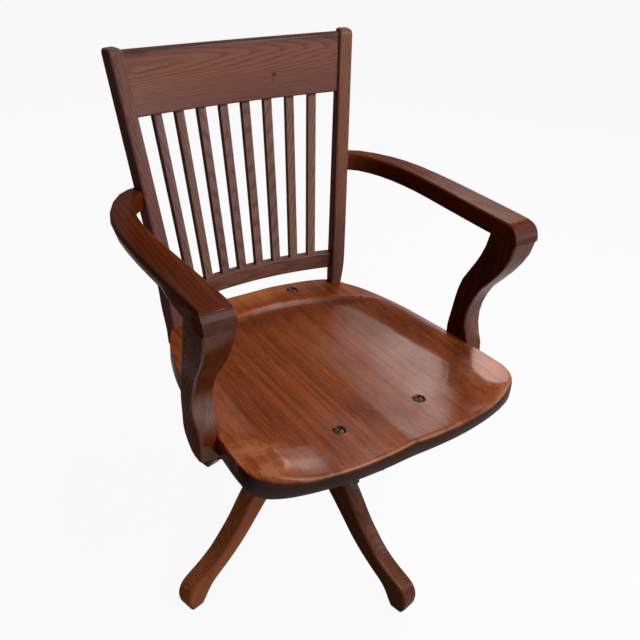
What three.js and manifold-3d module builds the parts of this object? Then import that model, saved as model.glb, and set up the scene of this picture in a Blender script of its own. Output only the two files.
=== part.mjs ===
// Bankers swivel chair in oak, in millimetres, +Z up, facing -Y.
// The floor is z = 0. The frame's origin lies under the middle of the chair's length,
// and the swivel axis stands axisSetForward in front of it.
import * as THREE from 'three';
import { mergeVertices } from 'three/addons/utils/BufferGeometryUtils.js';
import Module from 'manifold-3d';

const wasm = await Module();
wasm.setup();

// Fits
const gap = 0.3; // between glued or bolted faces
const runningGap = 0.4; // around shafts and pins that turn or slide
const overrun = 6; // how far every cutter passes what it cuts
const weld = 0.0005; // points closer than this are one

// Facet counts
const roundSteps = 30;
const boltSteps = 12;
const coarseSteps = 8;
const cornerSteps = 2;
const outlineSteps = 76;
const curveSteps = 2; // between two places of a table of shares
const bendStations = 16;
const noseSteps = 5;
const springSteps = 8; // on each curl
const springSides = 5;
const lobeSteps = 6;

// Frame
const axisSetForward = 1.9;

// Seat plank
const seatHeight = 442;
const seatThickness = 40;
const seatWidth = 515;
const seatDepth = 502;
const seatRear = 205.5;
const seatEdgeRounding = 3;
const seatUndercut = 2.5;
const seatUndercutHeight = 8;
const seatLipRadius = 10;
const saddleDepth = 15.5;
const rearStepDepth = 11.5;
const rearStepWidth = 13;
const rearRimWidth = 55;
const rearRimBow = 122;
const sideRimWidth = 5;
const sideSlopeRear = 62;
const earWidth = 24;
const earSlope = 14;
const earLength = 130;
const ridgeHeight = 3.5;
const ridgeHalfWidth = 34;

// Back: stiles, crest rail, lower rail and slats
const stileRise = 463; // above the seat's rim
const stileWidth = 25.5;
const stileDepthFoot = 31;
const stileDepthTop = 26;
const stileCornerRadius = 4;
const stileDome = 10;
const stileFootTaper = 7;
const stileOuterX = 185;
const stileFrontY = 150.5;
const stileTurn = THREE.MathUtils.degToRad(13);
const backLean = THREE.MathUtils.degToRad(12.2);
const backSplay = THREE.MathUtils.degToRad(6.2);
const bendLift = 50; // above the seat's rim
const bendSoftness = 26;
const crestHeight = 104;
const crestThickness = 26;
const crestFrontY = 226;
const crestHalfLength = 206;
const crestBow = 29;
const crestTopRadius = 7;
const crestBottomRadius = 3;
const lowerRailLift = 30; // above the seat's rim
const lowerRailHeight = 32;
const lowerRailThickness = 18;
const lowerRailFrontY = 168;
const lowerRailHalfLength = 174;
const lowerRailBow = 23.5;
const lowerRailRadius = 3;
const tenonThickness = 9;
const tenonShoulder = 8;
const slatCount = 8;
const slatWidth = 16;
const slatThickness = 11;
const slatChamfer = 1.2;
const slatPitchFoot = 36.4;
const slatPitchTop = 43.7;
const slatHousing = 12;

// Arms
const armRise = 247; // above the seat's rim
const armThickness = 31;
const armReach = 304;
const armFront = 199.5;
const armRear = 226.5;
const armNoseRadius = 21;
const armEdgeRadius = 5;
const armUndercut = 18;
const armUndercutHeight = 22;
const postInnerX = 247;
const postInnerLean = 7;
const postFootThickness = 35;
const postOuterFlare = 21;
const postRearY = 82.5;
const postReach = 116;
const postCornerRadius = 4.5;
const postTenonHeight = 16;
const postTenonMargin = 12;

// Dowels
const dowelRadius = 4;
const dowelLength = 38;
const postDowelSpread = 24;

// Base
const hubRadius = 47;
const hubBelowLegs = 10; // from the legs' roots to the hub's underside
const hubRounding = 5;
const legReach = 288;
const legThickness = 34;
const legRounding = 5;
const legTenonReach = 18;
const legTenonThickness = 20;
const legTenonMargin = 12;
const legTurn = THREE.MathUtils.degToRad(12.7);
const legCount = 4;

// Swivel and height screw
const spindleRadius = 12.5;
const sleeveWall = 3.6;
const socketWall = 3.6;
const socketDrop = 167; // below the hub's top
const sleeveDrop = 160; // below the hub's top
const socketFlangeRadius = 42;
const flangeThickness = 6;
const washerThickness = 3;
const washerRadius = 30;
const sleeveFlangeRadius = 30;
const socketScrewRadius = 2.5;
const socketScrewLength = 28;
const socketScrewHeadRadius = 5;
const socketScrewHeadHeight = 3;
const socketScrewCircle = 36;
const keyWidth = 5;
const keyHeight = 30;
const keyDrop = 34;
const keywayDepth = 3;
const spindleDrop = 110; // below the hub's top
const wheelRadius = 55;
const wheelRimRadius = 6;
const wheelBossRadius = 21;
const wheelBossHeight = 24;
const wheelSpokeRadius = 4.5;
const wheelSpokeCount = 5;

// Tilt mechanism
const pivotDrop = 24; // below the seat's underside
const pivotPinRadius = 7;
const pivotPinHeadRadius = 10;
const pivotPinHeadLength = 4;
const barrelRadius = 15;
const barrelHalfLength = 40;
const yokeBossRadius = 23;
const yokeBossHeight = 34.8; // up to the pivot
const spindleSocketDepth = 22;
const yokeLift = 3;
const yokeArmWidth = 26;
const yokeArmReach = 158;
const rodY = 140;
const rodPivotDrop = 17;
const rodRadius = 5;
const rodLength = 125;
const rodEyeRadius = 9;
const rodEyeWidth = 10;
const rodPinRadius = 4;
const rodSlotLength = 14;
const tipHeight = 12;
const tipDrop = 32; // below the pivot
const springHeight = 66;
const springRadius = 21;
const springWireRadius = 2.5;
const springCurls = 4.5;
const springWasherRadius = 22;
const knobHeight = 22;
const knobRadius = 23;
const knobLobeHeight = 2.5;
const knobLobes = 6;

// Iron spider under the seat
const spiderThickness = 8;
const spiderArmWidth = 26;
const spiderArmX = 80;
const spiderFront = 232;
const spiderRear = 199;
const spiderFrontBar = 44;
const spiderMiddleBar = 60;
const earThickness = 12;
const earRadius = 14;
const lugThickness = 6;
const boltRadius = 4;
const boltHeadRadius = 10;
const boltHeadHeight = 4;
const boltRecess = 1.5;
const boltFrontY = 208;
const boltRearY = 175;
const nutRadius = 8;
const nutHeight = 6.5;
const boltPastNut = 3;

// Half of the seat's outline: share of the half width, share of the depth from the rear edge
const seatOutlineShares = [
  [0, 0], [0.175, 0], [0.34, 0.01], [0.5, 0.025], [0.63, 0.048], [0.69, 0.072],
  [0.73, 0.11], [0.79, 0.165], [0.855, 0.26], [0.903, 0.36], [0.942, 0.5], [0.972, 0.62],
  [0.992, 0.74], [1, 0.81], [0.997, 0.862], [0.977, 0.9], [0.94, 0.924], [0.89, 0.941],
  [0.82, 0.957], [0.7, 0.974], [0.55, 0.988], [0.39, 0.997], [0.2, 1], [0, 0.998],
];
// Edge of the seat from its underside up: share of the undercut or rounding, share of its height
const undercutShares = [[1, 0], [0, 1]];
const roundingShares = [[0, 0], [0.3, 0.7], [1, 1]];
const seatCornerShare = 0.862; // where the seat is widest, ahead of which the saddle stays as wide
// Saddle grid: shares of the half width, and of the length from the lip to the rear step
const saddleColumnShares = [0, 0.1, 0.2, 0.3, 0.4, 0.5, 0.59, 0.67, 0.74, 0.8, 0.85, 0.9, 0.95, 1.03];
const saddleLipShares = [-0.6, 0, 0.12, 0.4, 1];
const saddleRowShares = [0.08, 0.17, 0.27, 0.38, 0.5, 0.62, 0.74, 0.86, 1];
const saddleStepShares = [0.33, 0.67, 1];

// Arm post from the foot up: shares of the height, of the reach to the front edge and to the
// rear edge, and of the outer flare
const postShares = [
  [0, 0.53, 0.33, 0], [0.01, 0.53, 0.25, 0], [0.045, 0.53, 0.15, 0], [0.09, 0.53, 0.055, 0],
  [0.14, 0.515, 0.01, 0], [0.2, 0.455, 0, 0], [0.27, 0.385, 0.015, 0.09],
  [0.35, 0.36, 0.035, 0.17], [0.43, 0.385, 0.052, 0.19], [0.51, 0.445, 0.078, 0.22],
  [0.59, 0.53, 0.126, 0.3], [0.66, 0.65, 0.205, 0.47], [0.74, 0.775, 0.3, 0.66],
  [0.82, 0.88, 0.383, 0.81], [0.9, 0.957, 0.443, 0.93], [1, 1, 0.487, 1],
];
// Arm rail in plan, from the nose back: for the outer and then the inner edge, share of the way
// from the stile's outer face to the arm's reach and share of the length from the front
const armShares = [
  [0.978, 0, 0.467, 0], [0.994, 0.1, 0.467, 0.1], [1, 0.2, 0.473, 0.2], [1, 0.3, 0.482, 0.3],
  [1, 0.4, 0.495, 0.4], [0.994, 0.5, 0.507, 0.5], [0.972, 0.6, 0.511, 0.59],
  [0.938, 0.68, 0.489, 0.67], [0.869, 0.76, 0.445, 0.74], [0.757, 0.83, 0.383, 0.8],
  [0.588, 0.9, 0.289, 0.855], [0.376, 0.958, 0.174, 0.9], [0.174, 0.988, 0.049, 0.925],
  [-0.029, 1, -0.091, 0.935],
];
const armUndercutStartShare = 0.15;
const armUndercutFullShare = 0.3;
// Leg seen from the side: share of the reach past the hub, share of the hub's height
const legTopShares = [
  [-0.15, 1.1], [0, 0.985], [0.14, 0.86], [0.25, 0.752], [0.34, 0.655], [0.43, 0.55],
  [0.51, 0.455], [0.6, 0.372], [0.69, 0.3], [0.8, 0.242], [0.89, 0.207], [0.95, 0.18],
  [0.988, 0.138], [1, 0.088], [0.99, 0.035], [0.965, 0],
];
const legBottomShares = [
  [0.87, 0], [0.835, 0.04], [0.8, 0.087], [0.75, 0.132], [0.66, 0.182], [0.54, 0.253],
  [0.42, 0.342], [0.31, 0.442], [0.145, 0.585], [0, 0.7], [-0.15, 0.8],
];
// Front arm of the tilt yoke: shares of its reach and of the height from the pivot to its tip
const yokeTopShares = [[0, 0.1], [0.2, 0.25], [0.4, 0.55], [0.6, 0.85], [0.78, 1]];
const yokeBottomShares = [[0.75, 1.35], [0.5, 1.15], [0.3, 1], [0.1, 0.98]];

// Values that follow
const seatUnderside = seatHeight - seatThickness;
const seatHalfWidth = seatWidth / 2;
const seatCornerY = seatRear - seatCornerShare * seatDepth;
const stileTop = seatHeight + stileRise;
const bendHeight = seatHeight + bendLift;
const crestBottom = stileTop - crestHeight;
const lowerRailBottom = seatHeight + lowerRailLift;
const armTop = seatHeight + armRise;
const armUnderside = armTop - armThickness;
const armLength = armFront + armRear;
const postHeight = armUnderside - gap - seatUnderside;
const dowelHeight = seatHeight - seatThickness / 2;
const sleeveRadius = spindleRadius + runningGap + sleeveWall;
const socketRadius = sleeveRadius + runningGap + socketWall;
const pivotHeight = seatUnderside - pivotDrop;
const yokeBottom = pivotHeight - yokeBossHeight;
const wheelTop = yokeBottom - yokeLift;
const wheelBottom = wheelTop - wheelBossHeight;
const sleeveTop = wheelBottom - gap;
const sleeveFlangeBottom = sleeveTop - flangeThickness;
const washerBottom = sleeveFlangeBottom - gap - washerThickness;
const socketFlangeBottom = washerBottom - gap - flangeThickness;
const hubTop = socketFlangeBottom - gap;
const legRoot = legBottomShares[legBottomShares.length - 2][1] * hubTop;
const hubBottom = legRoot - hubBelowLegs;
const socketBottom = hubTop - socketDrop;
const sleeveBottom = hubTop - sleeveDrop;
const spindleBottom = hubTop - spindleDrop;
const spindleTop = yokeBottom + spindleSocketDepth;
const rodPivotHeight = pivotHeight - rodPivotDrop;
const rodBottom = rodPivotHeight - rodLength;
const tipTop = pivotHeight - tipDrop;
const tipBottom = tipTop - tipHeight;
const springTop = tipBottom - gap;
const springBottom = springTop - springHeight;
const springWasherBottom = springBottom - gap - washerThickness;
const knobTop = springWasherBottom - gap;
const spiderTop = seatUnderside - gap;
const spiderBottom = spiderTop - spiderThickness;

const chair = new THREE.Group();

// Finishes
function wood(colour, roughness) {
  return new THREE.MeshStandardMaterial({ color: colour, roughness, metalness: 0 });
}

function metal(colour, roughness) {
  return new THREE.MeshStandardMaterial({ color: colour, roughness, metalness: 0.9 });
}

const seatOak = () => wood(0x8a4a24, 0.38);
const frameOak = () => wood(0x5f3322, 0.4);
const slatOak = () => wood(0x55302a, 0.45);
const armOak = () => wood(0x70381f, 0.36);
const legOak = () => wood(0x6a3420, 0.42);
const dowelWood = () => wood(0xb58a5a, 0.7);
const blackIron = () => metal(0x2b2a29, 0.6);
const steel = () => metal(0x77736d, 0.4);
const darkBolt = () => metal(0x2a211c, 0.5);

// Solids and geometries
function solidOf(geometry) {
  const bare = geometry.clone();
  bare.deleteAttribute('normal');
  bare.deleteAttribute('uv');
  const merged = mergeVertices(bare, weld);
  const corners = merged.index.array;
  const kept = [];
  for (let i = 0; i < corners.length; i += 3) {
    const [a, b, c] = corners.slice(i, i + 3);
    if (a !== b && b !== c && c !== a) kept.push(a, b, c);
  }
  return new wasm.Manifold(new wasm.Mesh({
    numProp: 3,
    vertProperties: new Float32Array(merged.attributes.position.array),
    triVerts: new Uint32Array(kept),
  }));
}

function geometryOf(solid) {
  const mesh = solid.getMesh();
  const geometry = new THREE.BufferGeometry();
  geometry.setAttribute('position', new THREE.BufferAttribute(mesh.vertProperties, 3));
  geometry.setIndex(new THREE.BufferAttribute(mesh.triVerts, 1));
  geometry.computeVertexNormals();
  return geometry;
}

function mirrored(solid) {
  const geometry = geometryOf(solid).scale(-1, 1, 1);
  const corners = geometry.index.array;
  for (let i = 0; i < corners.length; i += 3) {
    [corners[i], corners[i + 1]] = [corners[i + 1], corners[i]];
  }
  return solidOf(geometry);
}

function place(name, solid, material) {
  const mesh = new THREE.Mesh(geometryOf(solid), material);
  mesh.name = name;
  chair.add(mesh);
  return mesh;
}

// A round piece from its profile of radii and heights, up the outside and down the inside
function turned(profile, steps = roundSteps) {
  const points = profile.map(([radius, height]) => new THREE.Vector2(radius, height));
  return solidOf(new THREE.LatheGeometry(points, steps).rotateX(Math.PI / 2));
}

function turnedTube(outer, inner, bottom, top, steps = roundSteps) {
  return turned([[inner, bottom], [outer, bottom], [outer, top], [inner, top], [inner, bottom]], steps);
}

function turnedRod(radius, bottom, top, steps = roundSteps) {
  return turned([[0, bottom], [radius, bottom], [radius, top], [0, top]], steps);
}

// A round rod along a direction, centred on a point
function rodAlong(direction, centre, radius, length, steps = boltSteps) {
  const geometry = new THREE.CylinderGeometry(radius, radius, length, steps);
  const turn = new THREE.Quaternion().setFromUnitVectors(new THREE.Vector3(0, 1, 0), direction);
  return solidOf(geometry.applyQuaternion(turn).translate(centre.x, centre.y, centre.z));
}

function block(fromX, toX, fromY, toY, fromZ, toZ) {
  const geometry = new THREE.BoxGeometry(toX - fromX, toY - fromY, toZ - fromZ);
  return solidOf(geometry.translate((fromX + toX) / 2, (fromY + toY) / 2, (fromZ + toZ) / 2));
}

function extruded(outline, depth, rounding = 0, holes = []) {
  const shape = new THREE.Shape(outline);
  shape.holes = holes.map((hole) => new THREE.Path(hole));
  return new THREE.ExtrudeGeometry(shape, {
    depth: depth - 2 * rounding,
    bevelEnabled: rounding > 0,
    bevelThickness: rounding,
    bevelSize: rounding,
    bevelOffset: -rounding,
    bevelSegments: 2,
  }).translate(0, 0, rounding);
}

// An outline in (y, z) given its depth along x, from one x on
const sidewaysBasis = new THREE.Matrix4().makeBasis(
  new THREE.Vector3(0, 1, 0), new THREE.Vector3(0, 0, 1), new THREE.Vector3(1, 0, 0),
);
function sideways(outline, fromX, toX, holes = []) {
  const geometry = extruded(outline, toX - fromX, 0, holes);
  return solidOf(geometry.applyMatrix4(sidewaysBasis).translate(fromX, 0, 0));
}

function circle(x, y, radius, steps = boltSteps) {
  return Array.from({ length: steps }, (_, i) => {
    const angle = (2 * Math.PI * i) / steps;
    return new THREE.Vector2(x + radius * Math.cos(angle), y + radius * Math.sin(angle));
  });
}

function smoothLine(points) {
  return new THREE.SplineCurve(points).getPoints((points.length - 1) * curveSteps);
}

// A rectangle with round corners, counter-clockwise: radii from the lower left corner on,
// each one radius, or one across and one up
function roundedRectangle(left, right, low, high, radii) {
  const [a, b, c, d] = radii.map((radius) => (Array.isArray(radius) ? radius : [radius, radius]));
  const corners = [
    [left + a[0], low + a[1], Math.PI, a],
    [right - b[0], low + b[1], 1.5 * Math.PI, b],
    [right - c[0], high - c[1], 0, c],
    [left + d[0], high - d[1], Math.PI / 2, d],
  ];
  return corners.flatMap(([x, y, start, radius]) => Array.from({ length: cornerSteps + 1 }, (_, i) => {
    const angle = start + (Math.PI / 2) * (i / cornerSteps);
    return new THREE.Vector2(x + radius[0] * Math.cos(angle), y + radius[1] * Math.sin(angle));
  }));
}

// A closed skin over rings of points that turn counter-clockwise about the way they run
function loft(rings) {
  const count = rings[0].length;
  const positions = rings.flat().flatMap((point) => point.toArray());
  const corners = [];
  for (let ring = 0; ring < rings.length - 1; ring += 1) {
    for (let i = 0; i < count; i += 1) {
      const a = ring * count + i;
      const b = ring * count + ((i + 1) % count);
      corners.push(a, b, b + count, a, b + count, a + count);
    }
  }
  const last = (rings.length - 1) * count;
  const centres = [rings[0], rings[rings.length - 1]].map((ring) => ring
    .reduce((sum, point) => sum.add(point), new THREE.Vector3()).divideScalar(count));
  centres.forEach((centre) => positions.push(...centre.toArray()));
  const firstCentre = rings.length * count;
  for (let i = 0; i < count; i += 1) {
    const next = (i + 1) % count;
    corners.push(firstCentre, next, i);
    corners.push(firstCentre + 1, last + i, last + next);
  }
  const geometry = new THREE.BufferGeometry();
  geometry.setAttribute('position', new THREE.Float32BufferAttribute(positions, 3));
  geometry.setIndex(corners);
  return solidOf(geometry);
}

// Reads a column of a table of shares smoothly between its rows
function readShares(table, column, position) {
  const last = table.length - 1;
  const clamped = THREE.MathUtils.clamp(position, table[0][0], table[last][0]);
  let row = 0;
  while (row < last - 1 && table[row + 1][0] < clamped) row += 1;
  const slope = (i) => {
    const before = table[Math.max(i - 1, 0)];
    const after = table[Math.min(i + 1, last)];
    return (after[column] - before[column]) / (after[0] - before[0]);
  };
  const span = table[row + 1][0] - table[row][0];
  const t = (clamped - table[row][0]) / span;
  const start = table[row][column];
  const end = table[row + 1][column];
  return start * (1 + 2 * t) * (1 - t) ** 2 + slope(row) * span * t * (1 - t) ** 2
    + end * t * t * (3 - 2 * t) - slope(row + 1) * span * t * t * (1 - t);
}

function ease(share) {
  const t = THREE.MathUtils.clamp(share, 0, 1);
  return t * t * (3 - 2 * t);
}

// Seat plank: outline and saddle
function seatOutline() {
  const half = seatOutlineShares.map(([across, along]) => new THREE.Vector3(
    across * seatHalfWidth, seatRear - along * seatDepth, 0,
  ));
  const other = half.slice(1, -1).reverse().map((point) => new THREE.Vector3(-point.x, point.y, 0));
  const loop = new THREE.CatmullRomCurve3([...half, ...other], true, 'centripetal');
  const points = loop.getPoints(outlineSteps).slice(0, outlineSteps);
  return points.map((point) => new THREE.Vector2(point.x, point.y)).reverse();
}

const outline = seatOutline();

// Where the outline passes a place on one axis, read on the other
function crossings(axis, place, other) {
  const found = [];
  outline.forEach((a, i) => {
    const b = outline[(i + 1) % outline.length];
    if ((a[axis] - place) * (b[axis] - place) <= 0 && a[axis] !== b[axis]) {
      found.push(THREE.MathUtils.mapLinear(place, a[axis], b[axis], a[other], b[other]));
    }
  });
  return found;
}

const widest = Math.max(...outline.map((point) => point.x)) - weld;
const rearmost = Math.max(...outline.map((point) => point.y)) - weld;
const seatEdge = (x) => Math.min(...crossings('x', Math.min(Math.abs(x), widest), 'y'));
const seatSide = (y) => Math.max(...crossings('y', THREE.MathUtils.clamp(y, seatCornerY, rearmost), 'x'));

const stepFrontY = (x) => seatRear - rearRimWidth - rearRimBow * (x / seatHalfWidth) ** 2;

function saddleTop(x, y) {
  const front = seatEdge(x);
  const step = stepFrontY(x);
  const along = (step - y) / (step - front);
  const atEars = ease((front + earLength + sideSlopeRear / 2 - y) / earLength);
  const rim = THREE.MathUtils.lerp(sideRimWidth, earWidth, atEars);
  const slope = THREE.MathUtils.lerp(sideSlopeRear, earSlope, atEars);
  const side = ease((seatSide(y) - rim - Math.abs(x)) / slope);
  const rear = ease((step - y) / rearStepWidth);
  const sag = Math.sin(Math.PI * THREE.MathUtils.clamp(along, 0, 1));
  const bottom = THREE.MathUtils.lerp(rearStepDepth, saddleDepth, sag);
  const ridge = ridgeHeight * Math.exp(-((x / ridgeHalfWidth) ** 2)) * ease(along);
  const fromLip = THREE.MathUtils.clamp(y - front, 0, seatLipRadius);
  const lip = seatLipRadius - Math.sqrt(seatLipRadius ** 2 - (seatLipRadius - fromLip) ** 2);
  return seatHeight - (bottom - ridge) * side * rear - lip;
}

// A block whose top is the saddle, on a grid that follows the lip and the rear step
function saddleBlock() {
  const columns = [...saddleColumnShares.slice(1).reverse().map((share) => -share), ...saddleColumnShares];
  const grid = columns.map((share) => {
    const x = share * seatHalfWidth;
    const front = seatEdge(x);
    const stepEnd = stepFrontY(x);
    const stepStart = stepEnd - rearStepWidth;
    const lipEnd = front + seatLipRadius;
    const ys = [
      ...saddleLipShares.map((part) => front + part * seatLipRadius),
      ...saddleRowShares.map((part) => THREE.MathUtils.lerp(lipEnd, stepStart, part)),
      ...saddleStepShares.map((part) => THREE.MathUtils.lerp(stepStart, stepEnd, part)),
      seatRear + overrun,
    ];
    return ys.map((y) => new THREE.Vector3(x, y, saddleTop(x, y)));
  });
  const rows = grid[0].length;
  const floor = seatUnderside - overrun;
  const tops = grid.flat();
  const positions = [...tops, ...tops.map((p) => new THREE.Vector3(p.x, p.y, floor))]
    .flatMap((point) => point.toArray());
  const under = tops.length;
  const corners = [];
  const quad = (a, b, c, d) => corners.push(a, b, c, a, c, d);
  for (let c = 0; c < grid.length - 1; c += 1) {
    for (let r = 0; r < rows - 1; r += 1) {
      const a = c * rows + r;
      quad(a, a + rows, a + rows + 1, a + 1);
      quad(under + a, under + a + 1, under + a + rows + 1, under + a + rows);
    }
    const frontLeft = c * rows;
    quad(under + frontLeft, under + frontLeft + rows, frontLeft + rows, frontLeft);
    const rearLeft = c * rows + rows - 1;
    quad(rearLeft, rearLeft + rows, under + rearLeft + rows, under + rearLeft);
  }
  const lastColumn = (grid.length - 1) * rows;
  for (let r = 0; r < rows - 1; r += 1) {
    quad(r, r + 1, under + r + 1, under + r);
    quad(lastColumn + r + 1, lastColumn + r, under + lastColumn + r, under + lastColumn + r + 1);
  }
  const geometry = new THREE.BufferGeometry();
  geometry.setAttribute('position', new THREE.Float32BufferAttribute(positions, 3));
  geometry.setIndex(corners);
  return solidOf(geometry);
}

const boltPlaces = [
  ['front_left', -spiderArmX, -boltFrontY], ['front_right', spiderArmX, -boltFrontY],
  ['rear_left', -spiderArmX, boltRearY], ['rear_right', spiderArmX, boltRearY],
];

// The seat's outline drawn in along its normals, at a height
function seatRing(inset, height) {
  const count = outline.length;
  return outline.map((point, i) => {
    const along = outline[(i + 1) % count].clone().sub(outline[(i + count - 1) % count]).normalize();
    return new THREE.Vector3(point.x - along.y * inset, point.y + along.x * inset, height);
  });
}

function seatPlank(cutters) {
  const rings = [
    ...undercutShares.map(([out, up]) => seatRing(
      out * seatUndercut, seatUnderside + up * seatUndercutHeight,
    )),
    ...roundingShares.map(([out, up]) => seatRing(
      out * seatEdgeRounding, seatHeight + (up - 1) * seatEdgeRounding,
    )),
  ];
  let plank = loft(rings).intersect(saddleBlock());
  for (const [, x, y] of boltPlaces) {
    const surface = saddleTop(x, y);
    const recessFloor = surface - boltRecess - boltHeadHeight - gap;
    const recess = turnedRod(boltHeadRadius + gap, recessFloor, seatHeight + overrun, 2 * boltSteps);
    const hole = turnedRod(boltRadius + gap, seatUnderside - overrun, seatHeight, boltSteps);
    plank = plank.subtract(recess.add(hole).translate(x, y, 0));
  }
  for (const cutter of cutters) plank = plank.subtract(cutter);
  return plank;
}

// Stiles: the outer front edge rises straight, bends at the seat and leans back and out
function rise(height) {
  const above = height - bendHeight;
  return (above + Math.hypot(above, bendSoftness)) / 2;
}

function stileCorner(height) {
  return new THREE.Vector3(
    stileOuterX + rise(height) * Math.tan(backSplay),
    stileFrontY + rise(height) * Math.tan(backLean),
    height,
  );
}

const stileOutward = new THREE.Vector3(Math.cos(stileTurn), -Math.sin(stileTurn), 0);
const stileBackward = new THREE.Vector3(Math.sin(stileTurn), Math.cos(stileTurn), 0);

// A place in the right stile: across from its outer face inwards, and back from its front face
function stilePlace(height, inward, back) {
  return stileCorner(height).addScaledVector(stileOutward, -inward).addScaledVector(stileBackward, back);
}

const stileDepthAt = (height) => THREE.MathUtils.mapLinear(
  height, seatUnderside, stileTop, stileDepthFoot, stileDepthTop,
);
const stileRingShares = [0, 0.06, 0.1, 0.14, 0.17, 0.2, 0.23, 0.28, 0.4, 1];
const stileDomeShares = [[0.35, 0.02], [0.7, 0.09], [0.92, 0.22], [1, 0.42]];

function stileSolid(grow) {
  const shoulder = stileTop - stileDome;
  const ring = (height, shrink) => {
    const depth = stileDepthAt(height);
    const taper = stileFootTaper * (1 - ease((height - seatUnderside) / (bendHeight - seatUnderside)));
    const halves = [stileWidth / 2, depth / 2];
    const radii = Array(4).fill(stileCornerRadius + grow);
    const section = roundedRectangle(
      -halves[0] - grow, halves[0] - taper + grow, -halves[1] - grow, halves[1] - taper + grow, radii,
    );
    return section.map((point) => stilePlace(
      height, halves[0] - point.x * (1 - shrink), halves[1] + point.y * (1 - shrink),
    ));
  };
  const rings = stileRingShares.map((share) => ring(
    THREE.MathUtils.lerp(seatUnderside - grow, shoulder, share), 0,
  ));
  rings.push(...stileDomeShares.map(([up, shrink]) => ring(shoulder + up * stileDome + grow, shrink)));
  return loft(rings);
}

// The notch that takes the stile out of the seat's corner
function stileNotch() {
  const reach = stileWidth + stileDepthFoot;
  const corners = [[stileWidth + gap, -gap], [-reach, -gap], [-reach, reach], [stileWidth + gap, reach]];
  const plan = corners.map(([inward, back]) => {
    const spot = stilePlace(seatUnderside, inward, back);
    return new THREE.Vector2(spot.x, spot.y);
  });
  const depth = seatThickness + 2 * overrun;
  return solidOf(extruded(plan.reverse(), depth).translate(0, 0, seatUnderside - overrun));
}

// A board bent backwards in the middle, leaning back, its ends following the stiles
function bentBoard(board, grow = 0, inset = 0) {
  const { halfLength, splay, bow, lean, front, bottom } = board;
  const { height, thickness, topRadius, bottomRadius } = board;
  const depthInset = (thickness - tenonThickness) / 2;
  const [near, far] = inset ? [depthInset - grow, thickness - depthInset + grow] : [0, thickness];
  const [low, high] = [inset - grow, height - inset + grow];
  const radii = [bottomRadius, bottomRadius, topRadius, topRadius];
  const section = roundedRectangle(near, far, low, high, inset ? Array(4).fill(slatChamfer) : radii);
  const rings = Array.from({ length: bendStations + 1 }, (_, i) => {
    const share = (2 * i) / bendStations - 1;
    const arch = bow * (1 - share * share);
    return section.map(({ x: depth, y: up }) => new THREE.Vector3(
      share * (halfLength + grow + up * Math.tan(splay)),
      front + (arch + depth) * Math.cos(lean) + up * Math.sin(lean),
      bottom - (arch + depth) * Math.sin(lean) + up * Math.cos(lean),
    ));
  });
  return loft(rings);
}

const crestBoard = {
  halfLength: crestHalfLength, splay: backSplay, bow: crestBow, lean: backLean, front: crestFrontY,
  bottom: crestBottom, height: crestHeight, thickness: crestThickness, topRadius: crestTopRadius,
  bottomRadius: crestBottomRadius,
};
const lowerBoard = {
  halfLength: lowerRailHalfLength, splay: 0, bow: lowerRailBow, lean: 0, front: lowerRailFrontY,
  bottom: lowerRailBottom, height: lowerRailHeight, thickness: lowerRailThickness,
  topRadius: lowerRailRadius, bottomRadius: lowerRailRadius,
};

// The middle of a board's thickness at a place across the back, at its slat edge
function boardMiddle(board, x, edge) {
  const { halfLength, bow, lean, front, bottom, thickness } = board;
  const arch = bow * (1 - (x / halfLength) ** 2) + thickness / 2;
  return new THREE.Vector3(
    x, front + arch * Math.cos(lean) + edge * Math.sin(lean),
    bottom - arch * Math.sin(lean) + edge * Math.cos(lean),
  );
}

function slatSolid(index, grow) {
  const place = index - (slatCount - 1) / 2;
  const foot = boardMiddle(lowerBoard, place * slatPitchFoot, lowerRailHeight);
  const head = boardMiddle(crestBoard, place * slatPitchTop, 0);
  const up = head.clone().sub(foot).normalize();
  foot.addScaledVector(up, -slatHousing - grow);
  head.addScaledVector(up, slatHousing + grow);
  const bend = Math.atan(
    (crestBow * place * slatPitchTop) / crestHalfLength ** 2
    + (lowerRailBow * place * slatPitchFoot) / lowerRailHalfLength ** 2,
  );
  const across = new THREE.Vector3(Math.cos(bend), -Math.sin(bend), 0);
  across.addScaledVector(up, -across.dot(up)).normalize();
  const back = up.clone().cross(across);
  const [halfWidth, halfThickness] = [slatWidth / 2 + grow, slatThickness / 2 + grow];
  const section = [
    [-halfWidth, -halfThickness + slatChamfer], [-halfWidth + slatChamfer, -halfThickness],
    [halfWidth - slatChamfer, -halfThickness], [halfWidth, -halfThickness + slatChamfer],
    [halfWidth, halfThickness - slatChamfer], [halfWidth - slatChamfer, halfThickness],
    [-halfWidth + slatChamfer, halfThickness], [-halfWidth, halfThickness - slatChamfer],
  ];
  return loft([foot, head].map((end) => section.map(([side, depth]) => end.clone()
    .addScaledVector(across, side).addScaledVector(back, depth))));
}

// Arm post: rings up its height, read from its table
function postRing(share, grow) {
  const front = -postRearY - readShares(postShares, 1, share) * postReach;
  const rear = -postRearY - readShares(postShares, 2, share) * postReach;
  const inner = postInnerX + postInnerLean * ease(share);
  const outer = postInnerX + postFootThickness + postOuterFlare * readShares(postShares, 3, share);
  return { front: front - grow, rear: rear + grow, inner: inner - grow, outer: outer + grow };
}

function postSolid(grow) {
  const rings = postShares.map(([share], i) => {
    const { front, rear, inner, outer } = postRing(share, grow);
    const drop = i === 0 ? grow : 0;
    const radii = Array(4).fill(postCornerRadius);
    return roundedRectangle(inner, outer, front, rear, radii)
      .map((point) => new THREE.Vector3(point.x, point.y, seatUnderside - drop + share * postHeight));
  });
  return loft(rings);
}

function postTenon(grow) {
  const { front, rear, inner, outer } = postRing(1, -postTenonMargin);
  const top = armUnderside + postTenonHeight;
  const foot = armUnderside - postTenonHeight;
  return block(inner - grow, outer + grow, front - grow, rear + grow, foot, top + grow);
}

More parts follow.
